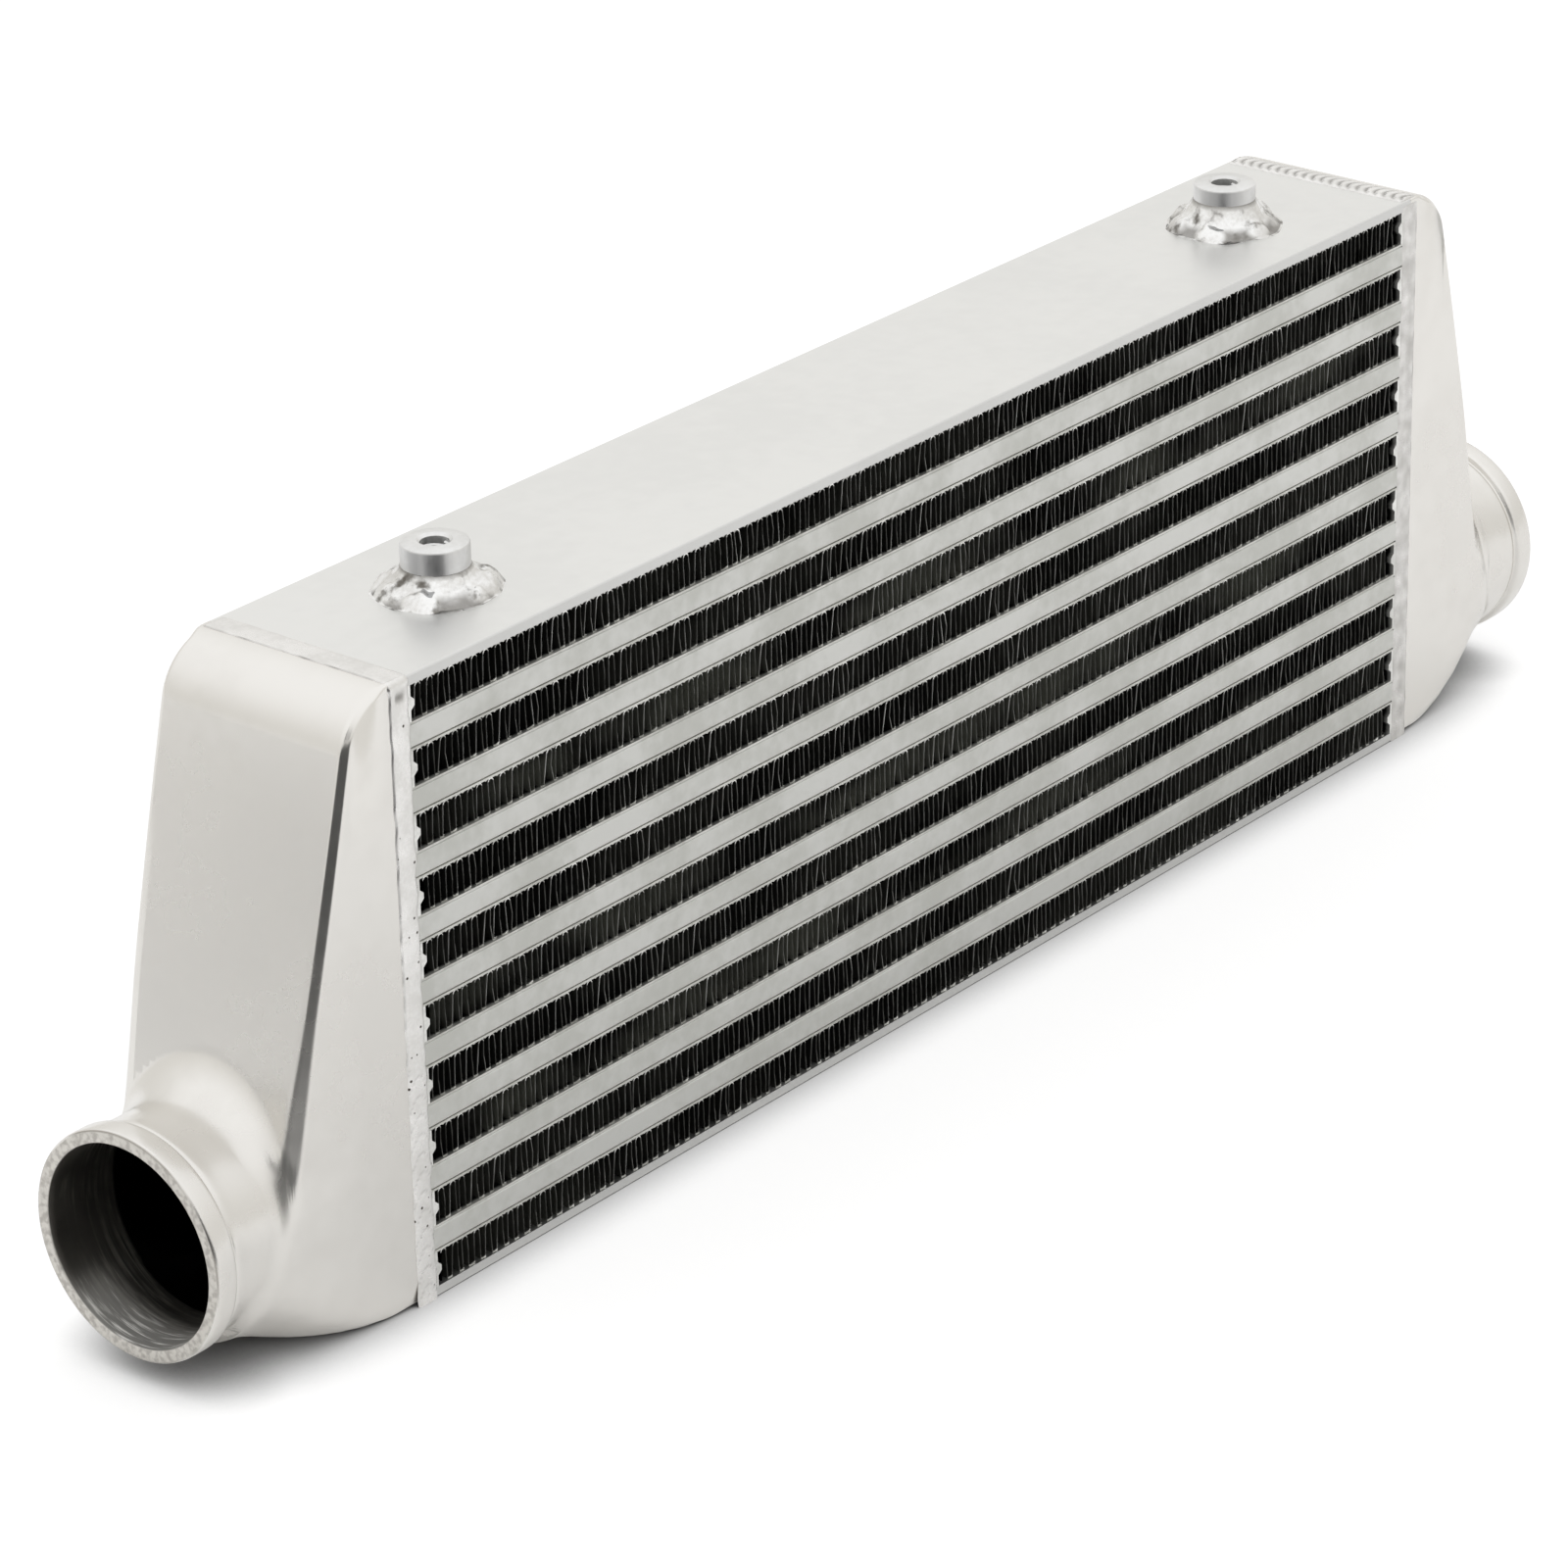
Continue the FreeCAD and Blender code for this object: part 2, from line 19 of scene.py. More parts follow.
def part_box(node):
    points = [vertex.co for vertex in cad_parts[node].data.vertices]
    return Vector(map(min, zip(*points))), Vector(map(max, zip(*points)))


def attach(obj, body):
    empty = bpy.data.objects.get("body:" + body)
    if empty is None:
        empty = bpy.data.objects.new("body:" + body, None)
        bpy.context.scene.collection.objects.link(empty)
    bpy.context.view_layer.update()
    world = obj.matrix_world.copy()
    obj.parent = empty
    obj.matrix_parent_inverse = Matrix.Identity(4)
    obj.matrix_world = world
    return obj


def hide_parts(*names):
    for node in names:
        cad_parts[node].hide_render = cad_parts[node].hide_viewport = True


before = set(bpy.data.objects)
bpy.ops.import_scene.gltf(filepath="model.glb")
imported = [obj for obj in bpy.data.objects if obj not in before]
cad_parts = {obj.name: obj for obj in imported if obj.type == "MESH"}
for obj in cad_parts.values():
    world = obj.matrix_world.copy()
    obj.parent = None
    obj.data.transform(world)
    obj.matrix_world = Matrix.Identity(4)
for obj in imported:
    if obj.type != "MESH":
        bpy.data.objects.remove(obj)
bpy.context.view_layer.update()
MM = 0.001
RGB = tuple[float, float, float]
CAST_MARKS = ("inside", "bore", "rim", "seam")
log = logging.getLogger("intercooler")


class Side(Enum):
    """Which end of the core a piece is on, as the front face is looked at."""

    LEFT = -1
    RIGHT = 1

    @property
    def word(self) -> str:
        """The side's word, as the node names use it."""
        return self.name.lower()


class WeldStyle(Enum):
    """How one run of weld was left."""

    PITTED = "laid flat, with small gas pits"
    DIMES = "a row of overlapping round ripples"
    GROUND = "ground nearly flush"


# Shader graph helpers
class Graph:
    """Short ways to add and join the nodes of one node tree."""

    def __init__(self, tree: bpy.types.NodeTree) -> None:
        """Keep the tree.

        Args:
            tree: The node tree of a material, a world or a shader group.
        """
        self.tree = tree

    def add(self, kind: str, **settings: object) -> bpy.types.Node:
        """Add a node.

        Args:
            kind: The node's type name.
            settings: Properties to set on the node.

        Returns:
            The new node.
        """
        node = self.tree.nodes.new(kind)
        for name, value in settings.items():
            setattr(node, name, value)
        return node

    def feed(self, socket: bpy.types.NodeSocket, value: object) -> None:
        """Link a socket into another, or set a plain value on it.

        Args:
            socket: The input socket.
            value: An output socket, or a value.
        """
        if isinstance(value, bpy.types.NodeSocket):
            self.tree.links.new(value, socket)
        elif hasattr(value, "__len__") and len(value) == 3 and socket.type == "RGBA":
            socket.default_value = (*value, 1.0)
        else:
            socket.default_value = value

    def math(self, operation: str, first: object, second: object = 0.0,
             clamp: bool = False) -> bpy.types.NodeSocket:
        """Work out one value from two.

        Args:
            operation: Name of the operation.
            first: First value or socket.
            second: Second value or socket.
            clamp: Whether the result is kept between 0 and 1.

        Returns:
            The socket with the result.
        """
        node = self.add("ShaderNodeMath", operation=operation, use_clamp=clamp)
        self.feed(node.inputs[0], first)
        self.feed(node.inputs[1], second)
        return node.outputs[0]

    def span(self, value: object, low: float, high: float, to_low: float = 0.0,
             to_high: float = 1.0) -> bpy.types.NodeSocket:
        """Carry a value from one range into another, held at the ends.

        Args:
            value: Value or socket to carry over.
            low: Low end of its range.
            high: High end of its range.
            to_low: Result at the low end.
            to_high: Result at the high end.

        Returns:
            The socket with the result.
        """
        node = self.add("ShaderNodeMapRange", interpolation_type="SMOOTHSTEP")
        for index, item in enumerate((value, low, high, to_low, to_high)):
            self.feed(node.inputs[index], item)
        return node.outputs[0]

    def mix(self, share: object, first: object, second: object) -> bpy.types.NodeSocket:
        """Mix two colours.

        Args:
            share: How much of the second.
            first: First colour.
            second: Second colour.

        Returns:
            The socket with the mixed colour.
        """
        node = self.add("ShaderNodeMix", data_type="RGBA")
        self.feed(node.inputs[0], share)
        self.feed(node.inputs[6], first)
        self.feed(node.inputs[7], second)
        return node.outputs[2]

    def blotch(self, place: object, scale: object, detail: float = 3.0,
               stretch: RGB = (1.0, 1.0, 1.0)) -> bpy.types.NodeSocket:
        """Smooth noise.

        Args:
            place: Socket with the coordinates.
            scale: Blotches in a metre.
            detail: How many finer layers are added.
            stretch: How much the coordinates are multiplied along each axis.

        Returns:
            The socket with a value round 0.5.
        """
        mapping = self.add("ShaderNodeMapping")
        mapping.inputs["Scale"].default_value = stretch
        self.feed(mapping.inputs["Vector"], place)
        node = self.add("ShaderNodeTexNoise")
        self.feed(node.inputs["Vector"], mapping.outputs[0])
        self.feed(node.inputs["Scale"], scale)
        self.feed(node.inputs["Detail"], detail)
        return node.outputs[0]

    def here(self) -> bpy.types.NodeSocket:
        """Coordinates of the piece itself, in metres."""
        return self.add("ShaderNodeTexCoord").outputs["Object"]

    def mark(self, name: str) -> bpy.types.NodeSocket:
        """Value of one of the piece's own attributes."""
        return self.add("ShaderNodeAttribute", attribute_name=name).outputs["Fac"]

    def times(self, first: object, second: object) -> bpy.types.NodeSocket:
        """Product of two values."""
        return self.math("MULTIPLY", first, second)

    def axes(self, place: bpy.types.NodeSocket) -> bpy.types.NodeOutputs:
        """Take a place apart.

        Args:
            place: Socket with the coordinates.

        Returns:
            The sockets X, Y and Z.
        """
        node = self.add("ShaderNodeSeparateXYZ")
        self.feed(node.inputs[0], place)
        return node.outputs

    def depth(self, face: float) -> bpy.types.NodeSocket:
        """How far the piece's surface lies behind the core's front or rear face."""
        return self.math("SUBTRACT", face, self.math("ABSOLUTE", self.axes(self.here())["Y"]))

    def bump(self, height: bpy.types.NodeSocket, distance: float,
             normal: bpy.types.NodeSocket | None = None) -> bpy.types.NodeSocket:
        """Turn a height into a normal.

        Args:
            height: Socket with the height.
            distance: How high its 1 stands, in metres.
            normal: The normal below, if it isn't the mesh's own.

        Returns:
            The socket with the normal.
        """
        node = self.add("ShaderNodeBump")
        node.inputs["Distance"].default_value = distance
        self.feed(node.inputs["Height"], height)
        if normal is not None:
            self.feed(node.inputs["Normal"], normal)
        return node.outputs[0]


def new_material(name: str) -> tuple[bpy.types.Material, Graph, bpy.types.NodeInputs]:
    """Start a material.

    Args:
        name: The material's name.

    Returns:
        The material, its graph and the inputs of its Principled shader.
    """
    material = bpy.data.materials.new(name)
    material.use_nodes = True
    return material, Graph(material.node_tree), material.node_tree.nodes["Principled BSDF"].inputs


def shader_group(name: str, inputs: dict[str, tuple[str, object]], outputs: dict[str, str]) -> tuple:
    """Start a shader group with named sockets.

    Args:
        name: The group's name.
        inputs: For each input, its socket type and its default.
        outputs: For each output, its socket type.

    Returns:
        The group's tree, its graph, its input node and its output node.
    """
    tree = bpy.data.node_groups.new(name, "ShaderNodeTree")
    for label, (kind, value) in inputs.items():
        socket = tree.interface.new_socket(label, in_out="INPUT", socket_type=kind)
        if value is not None:
            socket.default_value = value
    for label, kind in outputs.items():
        tree.interface.new_socket(label, in_out="OUTPUT", socket_type=kind)
    graph = Graph(tree)
    return tree, graph, graph.add("NodeGroupInput"), graph.add("NodeGroupOutput")


def clouded_metal_group() -> bpy.types.NodeTree:
    """Group that clouds a metal between two colours and gives its gloss the same clouds.

    Returns:
        The group's tree.
    """
    name = "Clouded metal"
    if name in bpy.data.node_groups:
        return bpy.data.node_groups[name]
    inputs = {"Place": ("NodeSocketVector", None), "Light": ("NodeSocketColor", (0.8, 0.8, 0.8, 1)),
              "Dark": ("NodeSocketColor", (0.6, 0.6, 0.6, 1)), "Clouds": ("NodeSocketFloat", 20.0),
              "Least Roughness": ("NodeSocketFloat", 0.25), "Most Roughness": ("NodeSocketFloat", 0.4)}
    outputs = {"Color": "NodeSocketColor", "Roughness": "NodeSocketFloat"}
    tree, graph, start, end = shader_group(name, inputs, outputs)
    wide = graph.blotch(start.outputs["Place"], start.outputs["Clouds"])
    fine = graph.blotch(start.outputs["Place"], graph.times(start.outputs["Clouds"], 9.0))
    both = graph.math("ADD", graph.times(wide, 0.7), graph.times(fine, 0.3))
    share = graph.span(both, 0.38, 0.62)
    graph.feed(end.inputs["Color"], graph.mix(share, start.outputs["Dark"], start.outputs["Light"]))
    spread = graph.math("SUBTRACT", start.outputs["Least Roughness"], start.outputs["Most Roughness"])
    graph.feed(end.inputs["Roughness"],
               graph.math("ADD", start.outputs["Most Roughness"], graph.times(share, spread)))
    return tree


def gas_pit_group() -> bpy.types.NodeTree:
    """Group that marks small round pits scattered over a surface.

    Returns:
        The group's tree.
    """
    name = "Gas pits"
    if name in bpy.data.node_groups:
        return bpy.data.node_groups[name]
    inputs = {"Place": ("NodeSocketVector", None), "Pits": ("NodeSocketFloat", 150.0),
              "Size": ("NodeSocketFloat", 0.1)}
    tree, graph, start, end = shader_group(name, inputs, {"Mask": "NodeSocketFloat"})
    cells = graph.add("ShaderNodeTexVoronoi")
    graph.feed(cells.inputs["Vector"], start.outputs["Place"])
    graph.feed(cells.inputs["Scale"], start.outputs["Pits"])
    near = graph.math("SUBTRACT", start.outputs["Size"], cells.outputs["Distance"])
    graph.feed(end.inputs["Mask"], graph.span(near, 0.0, 0.03))
    return tree


# Finishes
@dataclass(frozen=True)
class MetalFinish:
    """A clouded metal surface with a fine grain."""

    name: str
    light: RGB
    dark: RGB
    clouds: float = 20.0
    roughness: tuple[float, float] = (0.28, 0.4)
    grain: float = 900.0
    grain_stretch: RGB = (1.0, 1.0, 1.0)
    grain_depth: float = 0.02 * MM
    wave: float = 25.0
    wave_depth: float = 0.05 * MM

    def relief(self, graph: Graph) -> bpy.types.NodeSocket:
        """The surface's fine grain on its slow waves, as a normal.

        Args:
            graph: Graph of the material.

        Returns:
            The socket with the normal.
        """
        slow = graph.bump(graph.blotch(graph.here(), self.wave, 1.0), self.wave_depth)
        if self.grain_depth == 0:
            return slow
        fine = graph.blotch(graph.here(), self.grain, 3.0, self.grain_stretch)
        return graph.bump(fine, self.grain_depth, slow)

    def tone(self, graph: Graph, clouded: bpy.types.NodeSocket,
             inputs: bpy.types.NodeInputs) -> bpy.types.NodeSocket:
        """Colour of the surface, which is the clouded metal's own unless a finish changes it."""
        return clouded

    def build(self) -> bpy.types.Material:
        """Make the material.

        Returns:
            The material.
        """
        material, graph, inputs = new_material(self.name)
        inputs["Metallic"].default_value = 1.0
        clouded = graph.add("ShaderNodeGroup", node_tree=clouded_metal_group())
        values = (graph.here(), self.light, self.dark, self.clouds, *self.roughness)
        for socket, value in zip(clouded.inputs, values):
            graph.feed(socket, value)
        graph.feed(inputs["Roughness"], clouded.outputs["Roughness"])
        graph.feed(inputs["Base Color"], self.tone(graph, clouded.outputs["Color"], inputs))
        graph.feed(inputs["Normal"], self.relief(graph))
        return material


@dataclass(frozen=True)
class CastFinish(MetalFinish):
    """Hand polished casting: bright outside, a speckled rim, a turned bore and a hollow inside painted near
    black as shade.
    """

    bore_light: RGB = (0.90, 0.87, 0.80)
    bore_dark: RGB = (0.32, 0.305, 0.28)
    # near black painted shade for the hollow inside the tank
    chamber_shade: RGB = (0.006, 0.006, 0.006)
    # pale tone of the painted pool of light on the bore's floor, streaked like scratches
    lit_scratch: RGB = (0.92, 0.91, 0.88)
    scuff: RGB = (0.30, 0.295, 0.28)
    rim_light: RGB = (0.66, 0.64, 0.60)
    rim_dark: RGB = (0.46, 0.44, 0.41)
    seam: RGB = (0.34, 0.32, 0.29)
    streaks: float = 55.0

    def tone(self, graph: Graph, clouded: bpy.types.NodeSocket,
             inputs: bpy.types.NodeInputs) -> bpy.types.NodeSocket:
        """Colour of the casting, with its inside, bore, rim and seam told apart by its attributes.

        Args:
            graph: Graph of the material.
            clouded: Socket with the clouded metal's colour.
            inputs: Inputs of the shader; the rim and the bore are made rougher.

        Returns:
            The socket with the colour.
        """
        inside, in_bore, rim, seam = (graph.mark(name) for name in CAST_MARKS)
        place = graph.axes(graph.here())
        streak = graph.blotch(graph.here(), self.streaks, 6.0, (16.0, 1.0, 1.0))
        patch = graph.blotch(graph.here(), 38.0, 4.0, (1.0, 1.0, 1.0))
        lit = graph.times(graph.span(streak, 0.40, 0.70), graph.span(patch, 0.38, 0.66))
        bore = graph.mix(lit, self.bore_dark, self.bore_light)
        # the bore's floor near the mouth is painted as a pool of light where light falls in, streaked like
        # scratches, and made less metallic
        low_down = graph.span(place["Z"], 12 * MM, 27 * MM, 1.0, 0.0)
        near_mouth = graph.span(graph.math("ABSOLUTE", place["X"]), 286 * MM, 300 * MM)
        in_throat = graph.math("SUBTRACT", in_bore, inside, clamp=True)
        light_pool_and_wear = graph.times(graph.times(low_down, near_mouth), in_throat)
        hair = graph.blotch(graph.here(), self.streaks * 1.6, 5.0, (14.0, 1.0, 1.0))
        bore = graph.mix(light_pool_and_wear, bore, graph.mix(graph.span(hair, 0.50, 0.68), self.scuff, self.lit_scratch))
        graph.feed(inputs["Metallic"], graph.span(light_pool_and_wear, 0.0, 1.0, 1.0, 0.15))
        # the hollow inside the tank is painted near black, as shade
        bore = graph.mix(inside, bore, self.chamber_shade)
        speckle = graph.span(graph.blotch(graph.here(), 520.0, 6.0), 0.36, 0.60)
        skin = graph.mix(rim, clouded, graph.mix(speckle, self.rim_dark, self.rim_light))
        broken = graph.span(graph.blotch(graph.here(), 60.0, 4.0), 0.34, 0.56)
        skin = graph.mix(graph.times(seam, broken), skin, self.seam)
        rough = inputs["Roughness"].links[0].from_socket
        for mark, extra in ((rim, 0.2), (in_bore, 0.15)):
            rough = graph.math("ADD", rough, graph.times(mark, extra))
        graph.feed(inputs["Roughness"], rough)
        return graph.mix(in_bore, skin, bore)


@dataclass(frozen=True)
class FinFinish:
    """Thin folded strip: a light cut edge at the face and painted shade between the folds, with painted sheen
    on lit rows.
    """

    name: str
    face: float
    edge_light: RGB = (0.95, 0.95, 0.92)
    edge_dark: RGB = (0.38, 0.38, 0.36)
    leg_light: RGB = (0.30, 0.305, 0.265)
    leg_dark: RGB = (0.032, 0.032, 0.030)
    braze_light: RGB = (0.64, 0.64, 0.61)
    braze_dark: RGB = (0.40, 0.39, 0.36)

    def build(self) -> bpy.types.Material:
        """Make the material; the pieces' attributes mark their braze, how much painted sheen they get and which
        legs get painted shade on their edges.

        Returns:
            The material.
        """
        material, graph, inputs = new_material(self.name)
        inputs["Metallic"].default_value = 0.85
        inputs["Specular IOR Level"].default_value = 0.2
        place = graph.here()
        depth = graph.depth(self.face)
        # the legs are painted near black as shade between the folds, with patches of painted sheen on lit rows
        # that fade deeper in
        patch = graph.span(graph.blotch(place, 14.0, 3.0, (1.0, 0.25, 2.0)), 0.42, 0.62)
        shine = graph.times(graph.times(patch, graph.mark("lit")), graph.span(depth, 0.0, 16 * MM, 1.0, 0.2))
        legs = graph.mix(shine, self.leg_dark, self.leg_light)
        # edges of the falling legs are painted darker, as shade
        bright = graph.span(graph.blotch(place, 260.0, 2.0, (1.0, 1.0, 0.25)), 0.34, 0.60)
        bright = graph.times(bright, graph.math("SUBTRACT", 1.0, graph.mark("fall")))
        edges = graph.mix(bright, self.edge_dark, self.edge_light)
        strip = graph.mix(graph.span(depth, 0.05 * MM, 0.45 * MM), edges, legs)
        filler = graph.mix(graph.blotch(place, 220.0, 3.0), self.braze_dark, self.braze_light)
        graph.feed(inputs["Base Color"], graph.mix(graph.mark("braze"), strip, filler))
        graph.feed(inputs["Roughness"], graph.span(depth, 0.0, 3 * MM, 0.38, 0.5))
        graph.feed(inputs["Normal"], graph.bump(graph.blotch(place, 500.0, 2.0), 0.05 * MM))
        return material


@dataclass(frozen=True)
class EdgeFinish(MetalFinish):
    """Sheet with a cut edge: painted shade behind the edge, or the cut edge in its own darker tone with a thin
    painted shade line beside it, as if rounded.
    """

    face: float = 33.0 * MM
    skin: tuple[float, float] = (0.6 * MM, 2.0 * MM)
    shade: RGB = (0.02, 0.02, 0.02)
    cut: RGB | None = None

    def tone(self, graph: Graph, clouded: bpy.types.NodeSocket,
             inputs: bpy.types.NodeInputs) -> bpy.types.NodeSocket:
        """Colour at the cut edge and behind it."""
        tones = (clouded, self.shade) if self.cut is None else (self.cut, clouded)
        # behind the face the colour turns to painted shade; with a cut tone the edge is darker and a thin
        # painted shade line runs beside it
        return graph.mix(graph.span(graph.depth(self.face), *self.skin), *tones)


@dataclass(frozen=True)
class TintAndReflectionFinish(MetalFinish):
    """Turned metal with a light even tint round its side and a painted dark reflection on the part of the side
    towards the front left.
    """

    tint: RGB = (0.40, 0.402, 0.41)
    lines: float = 420.0

    def tone(self, graph: Graph, clouded: bpy.types.NodeSocket,
             inputs: bpy.types.NodeInputs) -> bpy.types.NodeSocket:
        """Colour with the tint and the painted dark reflection, as strong as the piece's attribute says."""
        streak = graph.blotch(graph.here(), self.lines, 3.0, (1.0, 1.0, 0.08))
        return graph.mix(graph.times(graph.mark("tint"), graph.span(streak, 0.25, 0.60, 0.72, 1.0)), clouded,
                         self.tint)


@dataclass(frozen=True)
class WeldFinish(MetalFinish):
    """Bright weld metal with a few gas pits painted as dark spots, painted shade in its grooves and a dull
    mottle where it was ground.
    """

    pits: float = 150.0
    pit_size: float = 0.06
    hole_tone: RGB = (0.08, 0.07, 0.06)
    # tone of the painted shade in grooves and of the dull mottle on ground metal
    groove_shade_and_dull_tone: RGB = (0.20, 0.19, 0.175)
    soot: RGB = (0.13, 0.12, 0.105)
    soot_share: tuple[float, float] = (0.70, 0.80)

    def tone(self, graph: Graph, clouded: bpy.types.NodeSocket,
             inputs: bpy.types.NodeInputs) -> bpy.types.NodeSocket:
        """Colour with soot, painted shade in grooves, a dull mottle, and pits painted dark.

        Args:
            graph: Graph of the material.
            clouded: Socket with the clouded metal's colour.
            inputs: Inputs of the shader; not used.

        Returns:
            The socket with the colour.
        """
        pits = graph.add("ShaderNodeGroup", node_tree=gas_pit_group())
        graph.feed(pits.inputs["Place"], graph.here())
        graph.feed(pits.inputs["Pits"], self.pits)
        graph.feed(pits.inputs["Size"], self.pit_size)
        soot = graph.span(graph.blotch(graph.here(), 210.0, 5.0), *self.soot_share)
        # grooves and dents get painted shade; ground runs get their dull mottle
        color = graph.mix(graph.mark("groove"), graph.mix(soot, clouded, self.soot), self.groove_shade_and_dull_tone)
        # gas pits are painted as dark spots, the shade of small holes
        return graph.mix(graph.times(pits.outputs["Mask"], graph.mark("pitted")), color, self.hole_tone)


CAST = CastFinish("cast_tank_satin", light=(0.768, 0.752, 0.722), dark=(0.730, 0.713, 0.682), clouds=14.0,
                  roughness=(0.20, 0.28), grain_depth=0.0, wave=18.0, wave_depth=0.08 * MM)
# the plate's cut edge is darker: its own tone, with a thin painted shade line on the top beside it, as if
# rounded
PLATE = EdgeFinish("cover_plate_brushed", light=(0.785, 0.785, 0.77), dark=(0.755, 0.755, 0.74), clouds=16.0,
                   roughness=(0.34, 0.42), grain_depth=0.0, wave=14.0, wave_depth=0.04 * MM,
                   skin=(0.05 * MM, 0.7 * MM), cut=(0.62, 0.62, 0.61))
BAR = MetalFinish("long_bar_matt", light=(0.62, 0.622, 0.60), dark=(0.55, 0.553, 0.525), clouds=30.0,
                  roughness=(0.40, 0.52), grain=420.0, grain_stretch=(0.4, 3.0, 3.0), grain_depth=0.012 * MM)
END_BAR = EdgeFinish("end_bar_matt", light=(0.82, 0.82, 0.80), dark=(0.66, 0.66, 0.64), clouds=90.0,
                     roughness=(0.40, 0.55))
SHEET = EdgeFinish("parting_sheet_matt", light=(0.66, 0.66, 0.63), dark=(0.54, 0.54, 0.51), clouds=60.0,
                   roughness=(0.45, 0.6))
CHARGE = MetalFinish("charge_fin_matt", light=(0.30, 0.30, 0.29), dark=(0.16, 0.16, 0.15), clouds=60.0,
                     roughness=(0.45, 0.6))
BOSS = TintAndReflectionFinish("turned_boss_bright", light=(0.78, 0.78, 0.775), dark=(0.70, 0.70, 0.69), clouds=60.0,
                    roughness=(0.30, 0.38), grain_depth=0.0)
WELD = WeldFinish("weld_metal_bright", light=(0.83, 0.82, 0.805), dark=(0.74, 0.73, 0.71), clouds=120.0,
                  roughness=(0.26, 0.40), grain=900.0, grain_depth=0.015 * MM, wave=160.0, wave_depth=0.06 * MM,
                  pits=300.0, pit_size=0.14)
BOSS_WELD = WeldFinish("boss_weld_bright", light=(0.83, 0.83, 0.82), dark=(0.66, 0.65, 0.63), clouds=90.0,
                       roughness=(0.10, 0.18), grain=600.0, grain_depth=0.01 * MM, wave=230.0,
                       wave_depth=0.30 * MM, soot_share=(0.50, 0.72))


# Putting a mesh in the scene
def place_mesh(name: str, bm: bmesh.types.BMesh, material: bpy.types.Material) -> bpy.types.Object:
    """Put a bmesh in the scene as an object.

    Args:
        name: The object's name.
        bm: Its mesh, which is freed.
        material: Its material.

    Returns:
        The new object.
    """
    mesh = bpy.data.meshes.new(name)
    bm.to_mesh(mesh)
    bm.free()
    mesh.materials.append(material)
    item = bpy.data.objects.new(name, mesh)
    bpy.context.scene.collection.objects.link(item)
    return item


def finish_piece(name: str, bm: bmesh.types.BMesh, material: bpy.types.Material,
                 nodes: tuple[str, ...], angle: float = 30.0, normals: list | None = None) -> bpy.types.Object:
    """Turn a bmesh into a piece of the object that stands for CAD nodes.

    Args:
        name: The piece's name.
        bm: Its mesh, which is freed.
        material: Its material.
        nodes: The CAD nodes that it stands for.
        angle: Edges sharper than this, in degrees, stay sharp.
        normals: For each point the direction its skin faces, or zeros to work it out from the faces.

    Returns:
        The new object.
    """
    if bm.calc_volume(signed=True) < 0:
        bmesh.ops.reverse_faces(bm, faces=bm.faces[:])
    piece = place_mesh(name, bm, material)
    mesh = piece.data
    mesh.shade_smooth()
    mesh.set_sharp_from_angle(angle=math.radians(angle))
    if normals is not None:
        mesh.normals_split_custom_set([normals[loop.vertex_index] for loop in mesh.loops])
    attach(piece, "root")
    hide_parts(*nodes)
    log.info("%s: %d faces", name, len(mesh.polygons))
    return piece


